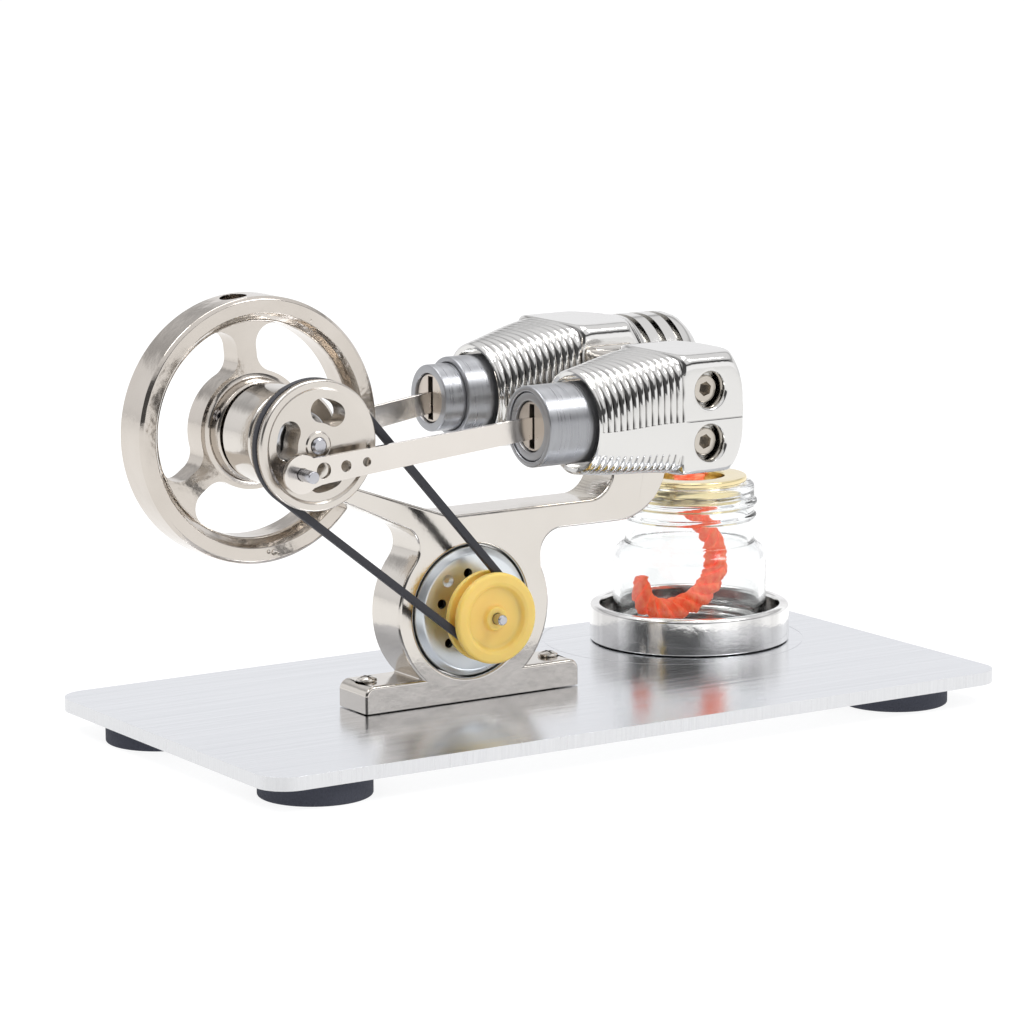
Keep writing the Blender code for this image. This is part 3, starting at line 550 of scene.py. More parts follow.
def frame_outline():
    cx, cz, ring = 62.6, 16.9, 16.4
    left, right, bar = 39.04, 85.67, 5.24
    foot = degrees(asin((bar - cz) / ring))
    corners = [(left, 0.2), (right, 0.2), (right, bar, 2.0)]
    corners += arc(cx, cz, ring, foot, 25, 30)
    corners += [
        (77.3, 30.5, 4.5),
        (106.0, 30.5, 11.0),
        (106.0, 62.5, 1.5),
        (93.6, 62.5, 1.5),
        (93.6, 35.2, 5.2),
        (57.6, 35.2, 9.0),
        (30.8, 44.78, 2.8),
    ]
    corners += arc(SHAFT_X, SHAFT_Z, 9.2, -30, 265, 72)
    corners += [(28.35, 42.9, 6.0), (53.1, 31.4, 4.1)]
    corners += arc(cx, cz, ring, 142, 180 - foot, 24)
    corners += [(left, bar, 2.0)]
    return filleted(corners, 12)


def build_frame(paint):
    low, high = FRAME_Y[0] - 2, FRAME_Y[1] + 2
    cuts = [
        (rod(4.2, low, high, "Y", 64), (SHAFT_X, 0, SHAFT_Z)),
        (rod(12.5, low, high, "Y", 128), (MOTOR_X, 0, MOTOR_Z)),
    ]
    for z in CASING_SCREW_Z:
        cuts.append((rod(1.65, low, high, "Y", 32), (CASING_SCREW_X, 0, z)))
    for x in (42.2, 82.0):
        cuts.append((rod(1.6, -1, 8, "Z", 32), (x, 39.2, 0)))
    piece("frame_casting", slab(frame_outline(), *FRAME_Y), (0, 0, 0), "base", "engine_frame",
          paint["nickel"], 0.6, cuts, standing=True)
    top = 5.3
    for side, x in (("left", 42.2), ("right", 82.0)):
        head = [(0, -2.3), (1.3, -2.3), (1.3, top), (1.9, top, 0.1), (1.9, top + 0.5, 0.3), (1.0, top + 0.85, 0.8), (0, top + 0.85)]
        slots = [(slab([(-0.28, top + 0.45), (0.28, top + 0.45), (0.28, top + 2), (-0.28, top + 2)], -1.25, 1.25), (x, 39.2, 0)),
                 (slab([(-1.25, top + 0.45), (1.25, top + 0.45), (1.25, top + 2), (-1.25, top + 2)], -0.28, 0.28), (x, 39.2, 0))]
        piece(f"frame_screw_{side}_head", turned(head, "Z", 48), (x, 39.2, 0), "base", f"frame_screw_{side}",
              paint["nickel"], 0, slots)
    flange = [(1.58, 31.2), (4.6, 31.2, 0.2), (5.5, 31.5, 0.3), (5.5, 33.8, 0.2), (4.05, 33.8), (4.05, 37.1), (1.58, 37.1)]
    piece("front_bearing", turned(flange, "Y", 96), (SHAFT_X, 0, SHAFT_Z), "base", "shaft_bearing_front", paint["steel_y"])
    ring = [(1.58, 40.8), (4.05, 40.8), (4.05, 44.4, 0.3), (3.3, 44.4), (3.2, 44.2), (2.2, 44.2), (2.1, 44.4), (1.58, 44.4)]
    piece("rear_bearing", turned(ring, "Y", 96), (SHAFT_X, 0, SHAFT_Z), "base", "shaft_bearing_rear", paint["steel_y"])


# ---------------------------------------------------------------- crankshaft


def build_crank(paint):
    centre = (SHAFT_X, 0, SHAFT_Z)
    shaft = [(0, 24.6), (1.1, 24.6, 0.05), (1.5, 24.95, 0.1), (1.5, 53.7, 0.1), (1.2, 54.0, 0.05), (0, 54.0)]
    piece("crankshaft", turned(shaft, "Y", 64), centre, "crank", "main_shaft", paint["pin"])

    disc = [
        (1.58, 25.25),
        (2.3, 25.25, 0.1),
        (2.6, 25.45, 0.15),
        (10.0, 25.45, 0.3),
        (10.5, 25.1, 0.3),
        (11.83, 25.1, 0.45),
        (11.83, 26.6, 0.15),
        (10.2, 26.6),
        (10.2, 28.6),
        (11.5, 28.6, 0.15),
        (11.5, 29.6, 0.3),
        (6.0, 29.6, 0.4),
        (5.6, 30.6, 0.3),
        (1.58, 30.6),
    ]
    cuts = []
    for angle in (70.0, 168.0, 284.0):
        cuts.append((bean(6.3, 2.2, angle - 13, angle + 13, 24, 33), centre))
    x, z = crank_pin_place(FRONT_CRANK_ANGLE)
    cuts.append((rod(1.2, 23, 33, "Y", 48), (x, 0, z)))
    piece("crank_disc_pulley", turned(disc, "Y", 160), centre, "crank", "crank_disc", paint["disc"], 0.12, cuts)
    piece("front_crank_stub", rod(1.1, 23.3, 28.2, "Y", 48, 0.15), (x, 0, z), "crank", "front_crank_pin", paint["pin"])

    wheel = [
        (1.58, 44.9),
        (7.0, 44.9, 0.2),
        (7.4, 45.1, 0.2),
        (9.0, 45.1, 0.2),
        (9.4, 45.4, 0.3),
        (9.4, 48.2, 0.5),
        (10.3, 48.5, 0.5),
        (20.0, 48.5, 0.7),
        (20.9, 46.9, 0.5),
        (21.5, 46.0, 0.3),
        (23.9, 46.0, 0.4),
        (24.5, 46.6, 0.3),
        (24.5, 53.8, 0.3),
        (23.9, 54.4, 0.4),
        (21.3, 54.4, 0.3),
        (20.5, 53.6, 0.3),
        (9.6, 53.6, 0.3),
        (9.0, 54.0, 0.2),
        (1.58, 54.0),
    ]
    cuts = []
    for before, after in zip(SPOKE_ANGLES, SPOKE_ANGLES[1:] + (SPOKE_ANGLES[0] + 360,)):
        cuts.append((spoke_window(before, after, 43, 57), centre))
    cuts.append((rod(2.5, 22.1, 28, "Z", 48), (SHAFT_X, 50.2, SHAFT_Z), radians(90 - 97)))
    for angle, radius, size in ((-84.0, 22.7, 0.6), (-86.8, 22.4, 0.42), (-82.0, 23.0, 0.3), (61.0, 22.2, 0.2)):
        a = radians(angle)
        pit = turned([(0, 44), (size, 44), (size, 46.0), (size * 0.5, 46.0 + size * 0.45, size * 0.4), (0, 46.0 + size * 0.5)], "Y", 14, 2)
        cuts.append((pit, (SHAFT_X + radius * cos(a), 0, SHAFT_Z + radius * sin(a))))
    grub_turn = radians(90 - (SPOKE_ANGLES[1] - 60))
    cuts.append((rod(1.25, 1.0, 12, "Z", 48), (SHAFT_X, 46.6, SHAFT_Z), grub_turn))
    x, z = crank_pin_place(REAR_CRANK_ANGLE)
    cuts.append((rod(1.2, 50.4, 57, "Y", 48), (x, 0, z)))
    piece("flywheel_casting", turned(wheel, "Y", 192), centre, "crank", "flywheel", paint["wheel"], 0.65, cuts)
    piece("rear_crank_stub", rod(1.1, 51.0, 55.6, "Y", 48, 0.15), (x, 0, z), "crank", "rear_crank_pin", paint["pin"])
    grub = rod(1.2, 1.75, 8.95, "Z", 48, 0.15)
    socket = rod(0.6, 7.0, 12, "Z", 6)
    place = (SHAFT_X, 46.6, SHAFT_Z)
    piece("hub_grub_screw", grub, place, "crank", "flywheel_set_screw", paint["pin"], 0, [(socket, place, grub_turn)], grub_turn)


# ---------------------------------------------------------------- cylinders


def casing_profile(side):
    """(x, radius) that turning leaves on the square bar."""
    half, end = CYLINDERS[side]["half"], CYLINDERS[side]["end"]
    corner = half * sqrt(2)
    head = [(76.5, 9.2), (76.75, 9.66), (93.0, 13.3), (94.5, corner)]
    if side == "front":
        return head + [(102.5, corner), (103.7, 14.7), (105.0, 13.7), (106.2, 12.9), (107.0, 12.2), (end, 11.7)]
    head += [(104.0, corner), (105.3, 15.5), (106.6, 14.2), (107.8, 13.1), (108.9, 12.2)]
    for x in (110.35, 114.05, 117.75):
        head += [(x - 0.66, 12.1), (x - 0.54, 9.9), (x + 0.54, 9.9), (x + 0.66, 12.1)]
    return head + [(119.8, 12.0), (121.2, 11.4), (122.4, 10.4), (123.3, 9.0), (123.8, 7.6), (end, 6.4)]


def interpolate(profile, x):
    for (x0, r0), (x1, r1) in zip(profile, profile[1:]):
        if x <= x1:
            return r0 + (r1 - r0) * (x - x0) / max(x1 - x0, 1e-9)
    return profile[-1][1]


def block_end(x):
    """The rounded far end of the front casing's square block."""
    t = min(1.0, max(0.0, (x - 101.2) / (107.2 - 101.2)))
    return 11.2 + (CYLINDERS["front"]["half"] * sqrt(2) - 11.2) * (1 - t**2.1) ** 0.62


def smooth_step(value, low, high):
    t = min(1.0, max(0.0, (value - low) / (high - low)))
    return t * t * (3 - 2 * t)


def casing_lift(x):
    """How far the casing's outside stands above the liner's axis."""
    return 0.8 * smooth_step(x, 78, 92)


def casing_radius(side, profile, x, a):
    """(radius, painted shade) of the casing at a station and an angle from +Y towards +Z."""
    half = CYLINDERS[side]["half"]
    width = 9.66 + (half - 9.66) * min(1.0, max(0.0, (x - 76.75) / 17.0)) ** 0.85
    power = 2.0 + 2.2 * min(1.0, max(0.0, (x - 76.75) / 16.5)) + 7.5 * smooth_step(x, 93.4, 94.9)
    flat = width / (abs(cos(a)) ** power + abs(sin(a)) ** power) ** (1 / power)
    limit = 30.0
    if x < 76.75:
        limit = 9.3
    elif side == "front" and x > 101.2:
        limit = block_end(x)
    elif x > 101.2:
        limit = interpolate(profile, x)
    soft = 0.30
    radius = -soft * log(exp(-(limit - 12) / soft) + exp(-(flat - 12) / soft)) + 12
    side_angle = degrees(a) if side == "rear" else 180 - degrees(a)
    side_angle = (side_angle + 180) % 360 - 180
    groove_shade = 0.0
    # In the rib band the second value is painted shade, deepest in each rib valley.
    if RIBS[0] < x < RIBS[1] and not -33.5 < side_angle < -4.9:
        depth = 1 - abs(sin(pi * (x - RIBS[0]) / RIB_PITCH)) ** 0.75
        radius -= RIB_DEPTH * depth
        height = radius * sin(a)
        # Painted dark reflections: two bands across the ribs, broken up by noise, darken the valleys further.
        painted_dark_bands = exp(-(((height + 0.3) / 0.9) ** 2)) + 0.7 * exp(-(((height - 4.3) / 0.9) ** 2))
        painted_dark_bands += 0.5 * noise.noise(Vector((x * 1.9, height * 0.6, 3.1)))
        groove_shade = depth * (0.50 + 0.55 * painted_dark_bands)
    # Along the seam a shallow line is painted with shade.
    if x > RIBS[1] and abs(side_angle + 4.9) < 0.55:
        radius -= 0.06
        groove_shade = 0.45
    return radius, groove_shade


def casing_body(side):
    profile = casing_profile(side)
    stations = {x for x, _ in profile}
    x = RIBS[0]
    while x < RIBS[1]:
        stations.add(x)
        x += RIB_PITCH / 12
    for low, high, count in ((94.5, 101.2, 6), (101.2, 107.2, 18)):
        stations.update(low + (high - low) * i / count for i in range(count + 1))
    end = CYLINDERS[side]["end"]
    stations = sorted(s for s in stations if s <= end)
    seam = -4.9 if side == "rear" else 184.9
    angles = {2.0 * i for i in range(180)}
    angles |= {(seam + d) % 360 for d in (-0.9, -0.5, 0.0, 0.5, 0.9)}
    angles = [radians(d) for d in sorted(angles)]
    count = len(angles)
    inside = [(liner_end(side) + 0.3, 7.65), (80.0, 7.65), (80.0, 8.6), (76.8, 8.6)]
    bm = bmesh.new()
    # Per-vertex attribute that carries the painted shade and painted dark reflections for the casing material.
    layer = bm.verts.layers.float.new("groove_shade")
    rings = []
    for x, radius in inside:
        rings.append([bm.verts.new((x, radius * cos(a), radius * sin(a))) for a in angles])
    for x in stations:
        ring = []
        for a in angles:
            radius, groove_shade = casing_radius(side, profile, x, a)
            vert = bm.verts.new((x, radius * cos(a), radius * sin(a) + casing_lift(x)))
            vert[layer] = groove_shade
            ring.append(vert)
        rings.append(ring)
    for here, there in zip(rings, rings[1:]):
        for i in range(count):
            j = (i + 1) % count
            bm.faces.new((here[i], here[j], there[j], there[i]))
    bm.faces.new(rings[0])
    bm.faces.new(rings[-1])
    bmesh.ops.recalc_face_normals(bm, faces=bm.faces)
    return bm


def liner_end(side):
    return CYLINDERS[side]["liner"][1]


def build_cylinder(side, paint):
    cylinder = CYLINDERS[side]
    y, z, end = cylinder["y"], cylinder["z"], cylinder["end"]
    axis_place = (0, y, z)
    near = y - cylinder["half"]
    cuts = []
    for screw_z in CASING_SCREW_Z:
        if side == "front":
            flared = [(0, near - 2), (3.95, near - 2), (3.95, near - 0.02), (3.65, near + 0.05), (3.3, near + 0.5), (3.3, near + 4.6), (0, near + 4.6)]
            cuts.append((turned(flared, "Y", 64, 1), (CASING_SCREW_X, 0, screw_z)))
            cuts.append((rod(1.65, near + 2.0, y + 14, "Y", 32), (CASING_SCREW_X, 0, screw_z + 0.013)))
        else:
            cuts.append((rod(1.65, near - 2, 47.0, "Y", 32), (CASING_SCREW_X, 0, screw_z)))
    piece(f"{side}_casing_casting", casing_body(side), axis_place, "base", f"{side}_casing", paint["casing"], 0, cuts,
          sharp=50)
    start, stop = cylinder["liner"]
    liner = [(6.45, start, 0.25), (7.5, start, 0.3), (7.5, stop), (6.45, stop)]
    piece(f"{side}_liner_tube", turned(liner, "X", 128), axis_place, "base", f"{side}_cylinder_liner", paint["liner"])
    if side == "front":
        plug = [(0, end - 3.6), (2.4, end - 3.6), (2.4, end + 0.1), (4.0, end + 0.1), (4.0, end + 5.6, 1.2), (0, end + 6.2, 0.0)]
        piece("front_plug", turned(plug, "X", 96), axis_place, "base", "front_end_plug", paint["nickel"])
    build_piston(side, cylinder, paint)


def build_piston(side, cylinder, paint):
    y, z, start = cylinder["y"], cylinder["z"], cylinder["piston"]
    pin_x, pin_z = crank_pin_place(FRONT_CRANK_ANGLE if side == "front" else REAR_CRANK_ANGLE)
    wrist_x = pin_x + sqrt(cylinder["rod"] ** 2 - (z - pin_z) ** 2)
    wrist = (wrist_x, y, z)
    body = f"{side}_piston_body"
    stop = 83.6
    shape = [
        (0, start + 9.5),
        (4.75, start + 9.5),
        (4.75, start, 0.2),
        (6.35, start, 0.3),
        (6.35, stop, 0.3),
        (0, stop),
    ]
    piece(f"{side}_piston_skirt", turned(shape, "X", 128), (0, y, z), body, f"{side}_piston", paint["liner"], 0,
          [(rod(0.85, -9, 9, "Y", 32), wrist)])
    piece(f"{side}_gudgeon_pin", rod(0.75, -5.3, 5.3, "Y", 32, 0.1), wrist, body, f"{side}_wrist_pin", paint["pin"])
    slot = slab(filleted([(start - 2, -4.1), (start + 6, -4.1), (start + 6, 4.1), (start - 2, 4.1)]), -0.85, 0.85)
    seat = [(0, start + 0.5), (4.6, start + 0.5, 0.25), (4.6, start + 2.7), (0, start + 2.7)]
    piece(f"{side}_slotted_seat", turned(seat, "X", 96), (0, y, z), body, f"{side}_rod_seat", paint["seat"], 0.08,
          [(slot, (0, y, z))])
    if side == "rear":
        cap = [(0, stop + 0.3), (4.0, stop + 0.3), (6.1, stop + 1.4, 0.3), (6.1, 110.2, 2.0), (0, 110.8)]
        piece("hot_cap_shell", turned(cap, "X", 96), (0, y, z), body, "rear_hot_cap", paint["pin"])

    body = f"{side}_rod_body"
    length = cylinder["rod"]
    turn = -asin((z - pin_z) / length)
    outline = arc(-length, 0, 3.5, 47, 313, 36)
    outline += [(-length + 5, -2.42), (-length + 12, -2.3)]
    outline += arc(0, 0, 1.95, -90, 90, 24)
    outline += [(-length + 12, 2.3), (-length + 5, 2.42)]
    holes = [(rod(0.85, -3, 3, "Y", 32), wrist, turn)]
    for distance, radius in ((0.0, 1.2), (4.3, 1.45), (8.9, 1.05), (13.2, 0.85)):
        bm = rod(radius, -3, 3, "Y", 48)
        bmesh.ops.translate(bm, verts=bm.verts, vec=(distance - length, 0, 0))
        holes.append((bm, wrist, turn))
    piece(f"{side}_rod_strip", slab(outline, -0.5, 0.5), wrist, body, f"{side}_connecting_rod", paint["rod"], 0.12, holes, turn)
    ends = (-4.5, 0.5) if side == "front" else (-0.5, 2.6)
    piece(f"{side}_crank_end_pin", rod(1.1, *ends, "Y", 48, 0.2), (pin_x, y, pin_z), body, f"{side}_rod_pin", paint["pin"])


def build_casing_screws(paint):
    top, tip = 13.2, 46.5
    for name, z in zip(("upper", "lower"), CASING_SCREW_Z):
        shape = [(0, top), (2.55, top, 0.3), (2.55, top + 2.4), (1.4, top + 2.4), (1.4, tip, 0.2), (0, tip)]
        place = (CASING_SCREW_X, 0, z)
        piece(f"{name}_cap_screw", turned(shape, "Y", 64), place, "base", f"casing_screw_{name}", paint["bolt"], 0,
              [(rod(1.4, top - 2, top + 1.9, "Y", 6), place, radians(12))])


# ---------------------------------------------------------------- motor and belt


def build_motor(paint):
    centre = (MOTOR_X, 0, MOTOR_Z)
    can = [
        (1.15, 32.2),
        (3.1, 32.2, 0.3),
        (3.1, 33.15, 0.2),
        (8.6, 33.3, 0.3),
        (10.9, 33.3, 0.8),
        (12.2, 34.3, 0.9),
        (12.2, 45.6),
        (11.3, 45.6),
        (11.3, 34.4),
        (1.15, 34.4),
    ]
    cuts = []
    for dx, dz in ((-1.3, 7.4), (-7.0, 2.2), (-5.5, -5.3), (5.0, -5.6), (7.2, 1.6)):
        cuts.append((rod(0.9, 31, 37, "Y", 32), (MOTOR_X + dx, 0, MOTOR_Z + dz)))
    dimple = [(0, 30), (1.25, 30), (1.15, 33.35), (0.5, 33.75, 0.3), (0, 33.75)]
    cuts.append((turned(dimple, "Y", 32), (MOTOR_X - 5.6, 0, MOTOR_Z + 6.4)))
    piece("motor_shell", turned(can, "Y", 128), centre, "base", "motor_can", paint["zinc"], 0, cuts)
    cap = [(0, 45.9), (12.0, 45.9, 0.2), (12.0, 47.1, 0.5), (4.0, 47.3, 0.3), (3.4, 47.9, 0.3), (0, 47.9)]
    windows = []
    for angle in (60, 240):
        windows.append((bean(8.0, 1.0, angle - 16, angle + 16, 46.6, 49), centre))
    piece("motor_rear_cap", turned(cap, "Y", 128), centre, "base", "motor_end_cap", paint["plastic"], 0, windows)
    shaft = [(0, 23.2), (0.75, 23.2, 0.1), (1.0, 23.5, 0.1), (1.0, 44.6), (0, 44.6)]
    piece("motor_spindle", turned(shaft, "Y", 48), centre, "motor_rotor", "motor_shaft", paint["pin"])
    pulley = [
        (1.12, 25.35),
        (2.1, 25.35, 0.35),
        (2.4, 26.3, 0.5),
        (5.6, 26.3, 0.7),
        (6.1, 25.4, 0.5),
        (6.7, 25.15, 0.3),
        (8.47, 25.15, 0.6),
        (8.47, 26.6, 0.25),
        (5.4, 26.6),
        (5.4, 28.6),
        (8.47, 28.6, 0.25),
        (8.47, 29.8, 0.45),
        (3.0, 29.8, 0.3),
        (1.12, 29.8),
    ]
    piece("motor_pulley_wheel", turned(pulley, "Y", 128, 6), centre, "motor_rotor", "motor_pulley", paint["yellow"])
    build_belt(paint)


def build_belt(paint):
    dx, dz = MOTOR_X - SHAFT_X, MOTOR_Z - SHAFT_Z
    spread = hypot(dx, dz)
    heading = degrees(atan2(dz, dx))
    big, small = 10.5, 5.7
    lean = 90 - degrees(asin((big - small) / spread))
    path = []
    for cx, cz, radius, start, end, steps in (
        (0.0, 0.0, big, heading + lean, heading - lean + 360, 90),
        (dx, dz, small, heading - lean, heading + lean, 48),
    ):
        for i in range(steps + 1):
            a = radians(start + (end - start) * i / steps)
            path.append((cx + radius * cos(a), cz + radius * sin(a), cos(a), sin(a)))
    section = filleted([(0, -0.7, 0.18), (1.4, -0.7, 0.18), (1.4, 0.7, 0.18), (0, 0.7, 0.18)], 3)
    bm = bmesh.new()
    rings = []
    for x, z, nx, nz in path:
        rings.append([bm.verts.new((x + nx * out, across, z + nz * out)) for out, across in section])
    count, around = len(rings), len(section)
    for i in range(count):
        here, there = rings[i], rings[(i + 1) % count]
        for k in range(around):
            m = (k + 1) % around
            bm.faces.new((here[k], here[m], there[m], there[k]))
    bmesh.ops.recalc_face_normals(bm, faces=bm.faces)
    piece("belt_loop", bm, (SHAFT_X, 27.6, SHAFT_Z), "base", "drive_belt", paint["rubber"])


# ---------------------------------------------------------------- burner


def build_burner(paint):
    centre = (BURNER_X, BURNER_Y, 0)
    cup = [
        (0, 0.2),
        (19.76, 0.2, 0.25),
        (19.76, 7.33, 0.8),
        (17.9, 7.33, 0.4),
        (17.7, 6.6, 0.2),
        (17.7, 1.6, 0.5),
        (0, 1.6),
    ]
    piece("burner_dish", turned(cup, "Z", 192, 6), centre, "burner", "burner_cup", paint["cup"])
    jar = [
        (0, 2.35),
        (9.5, 2.35, 2.0),
        (11.5, 1.9, 0.6),
        (15.15, 1.9, 1.3),
        (15.15, 18.0, 2.6),
        (12.85, 19.9, 0.8),
        (12.85, 24.4, 0.3),
        (13.5, 25.0, 0.5),
        (12.85, 25.6, 0.3),
        (12.85, 27.0, 0.3),
        (13.9, 27.7, 0.6),
        (12.85, 28.4, 0.3),
        (12.85, 31.5, 0.9),
        (10.45, 31.5, 0.6),
        (10.45, 29.7, 0.5),
        (11.6, 28.8, 0.5),
        (11.6, 19.5, 0.8),
        (13.9, 17.4, 2.2),
        (13.9, 3.3, 1.4),
        (0, 3.3),
    ]
    piece("glass_jar", turned(jar, "Z", 160, 8), centre, "jar", "fuel_jar", paint["glass"], sharp=60)
    holder = [
        (6.9, 27.8, 0.1),
        (10.1, 27.8, 0.3),
        (10.1, 31.8),
        (11.3, 31.8, 0.15),
        (11.3, 32.8, 0.35),
        (6.9, 32.8, 0.3),
    ]
    piece("brass_holder", turned(holder, "Z", 128), centre, "holder", "wick_holder", paint["brass"])
    build_wick(paint)


WICK_ROUTE = (
    (128.2, 32.4, 3.4),
    (128.5, 30.0, 2.7),
    (128.8, 27.0, 2.1),
    (131.3, 23.5, 2.1),
    (134.2, 19.5, 2.2),
    (135.0, 16.0, 2.3),
    (134.8, 12.5, 2.4),
    (131.3, 8.2, 2.35),
    (124.5, 6.1, 2.3),
    (118.8, 7.6, 2.2),
    (117.5, 11.0, 1.9),
    (117.6, 13.6, 1.2),
)


def smooth_route(points, steps):
    padded = [2 * points[0] - points[1]] + points + [2 * points[-1] - points[-2]]
    fine = []
    for before, here, there, after in zip(padded, padded[1:], padded[2:], padded[3:]):
        for step in range(steps):
            t = step / steps
            fine.append(
                0.5 * (2 * here + (there - before) * t + (2 * before - 5 * here + 4 * there - after) * t**2
                       + (3 * here - before - 3 * there + after) * t**3)
            )
    fine.append(points[-1])
    return fine


def build_wick(paint):
    """A three-strand twisted cord: each strand winds round the route and carries rough fibres."""
    route = smooth_route([Vector((x - BURNER_X, z, r)) for x, z, r in WICK_ROUTE], 16)
    bm = bmesh.new()
    strands, around, pitch = 3, 14, 9.0
    travelled = 0.0
    rings = [[] for _ in range(strands)]
    for i, point in enumerate(route):
        x, z, radius = point
        ahead = route[min(i + 1, len(route) - 1)]
        behind = route[max(i - 1, 0)]
        tangent = Vector((ahead.x - behind.x, 0, ahead.y - behind.y)).normalized()
        side = Vector((0, 1, 0))
        up = tangent.cross(side)
        if i:
            travelled += hypot(x - route[i - 1].x, z - route[i - 1].y)
        for strand in range(strands):
            a = 2 * pi * (travelled / pitch + strand / strands)
            offset = 0.42 * radius
            middle = Vector((x, 0, z)) + side * offset * cos(a) + up * offset * sin(a)
            thick = 0.60 * radius
            ring = []
            for k in range(around):
                b = 2 * pi * k / around
                out = side * cos(b) + up * sin(b)
                spot = middle + out * thick
                rough = 0.24 * noise.noise(spot * 0.9) + 0.20 * noise.noise(spot * 2.7)
                ring.append(bm.verts.new(middle + out * thick * (1 + rough)))
            rings[strand].append(ring)
    for line in rings:
        for here, there in zip(line, line[1:]):
            for k in range(around):
                m = (k + 1) % around
                bm.faces.new((here[k], here[m], there[m], there[k]))
        bm.faces.new(line[0])
        bm.faces.new(line[-1])
    bmesh.ops.recalc_face_normals(bm, faces=bm.faces)
    piece("twisted_wick", bm, (BURNER_X, BURNER_Y, 0), "jar", "wick", paint["cotton"], sharp=180)


# ---------------------------------------------------------------- studio


def light_the_sky(tree):
    """A bright horizon behind the model, a dark room low down in front of it and a pale ceiling."""

    def node(kind, *values):
        made = tree.nodes.new(kind)
        for socket, value in zip(made.inputs, values):
            if hasattr(value, "links"):
                tree.links.new(value, socket)
            elif value is not None:
                socket.default_value = value
        return made

    def ramp(value, stops):
        made = tree.nodes.new("ShaderNodeValToRGB")
        tree.links.new(value, made.inputs["Fac"])
        ends = made.color_ramp.elements
        ends[0].position, ends[1].position = stops[0][0], stops[-1][0]
        for position, _ in stops[1:-1]:
            ends.new(position)
        for element, (_, level) in zip(ends, stops):
            element.color = (level, level, level * 1.015, 1.0)
        return made.outputs["Color"]

    place = tree.nodes.new("ShaderNodeTexCoord").outputs["Generated"]
    height = node("ShaderNodeSeparateXYZ", place).outputs["Z"]

    def facing(way, low, high):
        """0 away from a wall, 1 towards it."""
        made = tree.nodes.new("ShaderNodeVectorMath")
        made.operation = "DOT_PRODUCT"
        tree.links.new(place, made.inputs[0])
        made.inputs[1].default_value = way
        return node("ShaderNodeMapRange", made.outputs["Value"], low, high, 0.0, 1.0).outputs["Result"]

    def mixed(factor, below, above):
        made = tree.nodes.new("ShaderNodeMix")
        made.data_type = "RGBA"
        tree.links.new(factor, made.inputs["Factor"])
        tree.links.new(below, made.inputs["A"])
        tree.links.new(above, made.inputs["B"])
        return made.outputs["Result"]

    side = facing(BACK_WALL, -0.25, 0.35)
    front_sky = ramp(height, ((0.0, 1.25), (0.23, 1.20), (0.29, 0.08), (0.40, 0.08), (0.50, 0.92), (1.0, 1.0)))
    back_sky = ramp(height, ((0.0, 0.85), (0.08, 0.95), (0.34, 1.0), (0.44, 0.45), (0.58, 0.90), (1.0, 1.0)))
    left_sky = ramp(height, ((0.0, 0.25), (0.03, 0.08), (0.48, 0.08), (0.60, 0.88), (1.0, 1.0)))
    left = facing(DARK_WALL, 0.45, 0.80)
    sky = mixed(side, mixed(left, front_sky, left_sky), back_sky)
    tree.links.new(sky, tree.nodes["Background"].inputs["Color"])
    tree.nodes["Background"].inputs["Strength"].default_value = 1.0


def build_studio():
    bm = bmesh.new()
    bmesh.ops.create_grid(bm, x_segments=1, y_segments=1, size=60.0)
    mesh = bpy.data.meshes.new("studio_floor")
    bm.to_mesh(mesh)
    bm.free()
    mesh.materials.append(white_floor())
    floor = bpy.data.objects.new("studio_floor", mesh)
    bpy.context.scene.collection.objects.link(floor)

    scene = bpy.context.scene
    sky = bpy.data.worlds.new("studio")
    scene.world = sky
    sky.use_nodes = True
    light_the_sky(sky.node_tree)

    target = Vector((0.0, 0.0, 0.035))
    for name, spot, size, power in (
        ("left_softbox", (-0.45, 0.10, 0.80), 0.35, 2.4),
        ("right_softbox", (0.40, -0.45, 0.85), 0.35, 2.6),
        ("top_softbox", (0.05, 0.25, 0.95), 0.5, 2.5),
    ):
        lamp = bpy.data.lights.new(name, "AREA")
        lamp.size = size
        lamp.energy = power
        light = bpy.data.objects.new(name, lamp)
        light.location = spot
        light.rotation_euler = (target - Vector(spot)).to_track_quat("-Z", "Y").to_euler()
        scene.collection.objects.link(light)

    scene.view_settings.view_transform = "Standard"
    scene.view_settings.look = "None"

    azimuth, pitch, roll = radians(32.775), radians(9.995), radians(-0.3015)
    right = Vector((cos(azimuth), -sin(azimuth), 0))
    forward = Vector((sin(azimuth) * cos(pitch), cos(azimuth) * cos(pitch), -sin(pitch)))
    up = right.cross(forward)
    rolled_right = cos(roll) * right + sin(roll) * up
    rolled_up = -sin(roll) * right + cos(roll) * up
    camera = bpy.data.objects.new("camera", bpy.data.cameras.new("camera"))
    camera.data.lens = 148.66
    camera.data.sensor_width = 36.0
    camera.data.clip_end = 200.0
    camera.matrix_world = Matrix.Translation((-0.42725, -0.65608, 0.17712)) @ Matrix(
        (rolled_right, rolled_up, -forward)
    ).transposed().to_4x4()
    scene.collection.objects.link(camera)
    scene.camera = camera


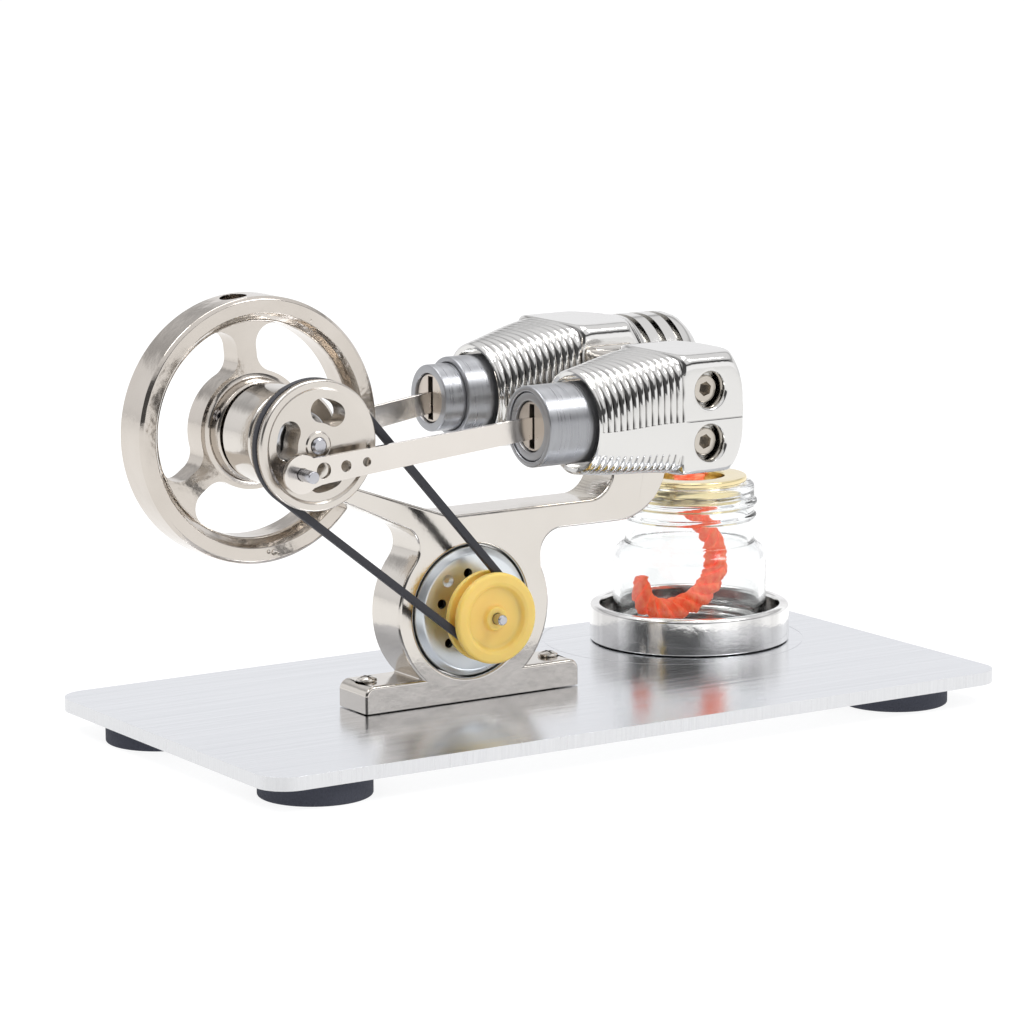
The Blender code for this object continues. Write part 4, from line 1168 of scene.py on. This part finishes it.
def build_materials():
    return {
        "plate": brushed_plate(),
        "plate_edge": sawn_edge(),
        "foam": matt("foam", (0.062, 0.066, 0.088), (0.034, 0.037, 0.052), 0.9, 1800.0, 0.0002),
        "nickel": nickel("polished_nickel", (0.69, 0.655, 0.61), (0.61, 0.575, 0.53), wave=0.75),
        "wheel": nickel("flywheel_nickel", (0.65, 0.605, 0.555), (0.53, 0.485, 0.435), wave=1.7),
        "disc": nickel("disc_nickel", (0.67, 0.63, 0.58), (0.57, 0.53, 0.485), (0.13, 0.26), 0.5),
        "casing": grooved_nickel(),
        "cup": pebbled_nickel(),
        "seat": nickel("seat_metal", (0.62, 0.56, 0.50), (0.50, 0.45, 0.40), (0.25, 0.35), 0.5),
        "steel_y": turned_metal("turned_steel", (0.66, 0.67, 0.69), (0.52, 0.53, 0.55), (0.14, 0.28), "Y"),
        "pin": turned_metal("ground_steel", (0.55, 0.55, 0.58), (0.42, 0.42, 0.45), (0.18, 0.32), "Y"),
        "rod": nickel("rolled_steel", (0.74, 0.70, 0.655), (0.66, 0.62, 0.575), (0.10, 0.20), 0.4),
        "bolt": nickel("screw_steel", (0.60, 0.56, 0.50), (0.48, 0.44, 0.39), (0.15, 0.3), 0.5),
        "liner": dark_satin("honed_cylinder", "X"),
        "zinc": zinc_sheet(),
        "yellow": nylon("yellow_nylon", (1.0, 0.68, 0.20), (0.99, 0.62, 0.15)),
        "plastic": nylon("black_plastic", (0.03, 0.03, 0.03), (0.02, 0.02, 0.02), 0.45),
        "rubber": matt("black_rubber", (0.035, 0.036, 0.045), (0.022, 0.022, 0.028), 0.6, 2500.0, 0.00003),
        "glass": clear_glass(),
        "brass": nickel("pale_brass", (0.88, 0.76, 0.46), (0.80, 0.66, 0.36), (0.10, 0.2), 0.5),
        "cotton": cotton(),
        "magnet": matt("ferrite", (0.06, 0.06, 0.065), (0.04, 0.04, 0.045), 0.7, 1500.0, 0.00005),
    }


for leftover in list(bpy.data.objects):
    bpy.data.objects.remove(leftover)
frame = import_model()
materials = build_materials()
build_base(materials)
build_frame(materials)
build_crank(materials)
for cylinder_side in CYLINDERS:
    build_cylinder(cylinder_side, materials)
build_casing_screws(materials)
build_motor(materials)
build_burner(materials)
for node_name, paint_name in (
    ("motor_magnet", "magnet"),
    ("motor_armature", "magnet"),
    ("motor_terminal_left", "brass"),
    ("motor_terminal_right", "brass"),
):
    kept = frame["nodes"][node_name].data
    kept.materials.clear()
    kept.materials.append(materials[paint_name])
build_studio()
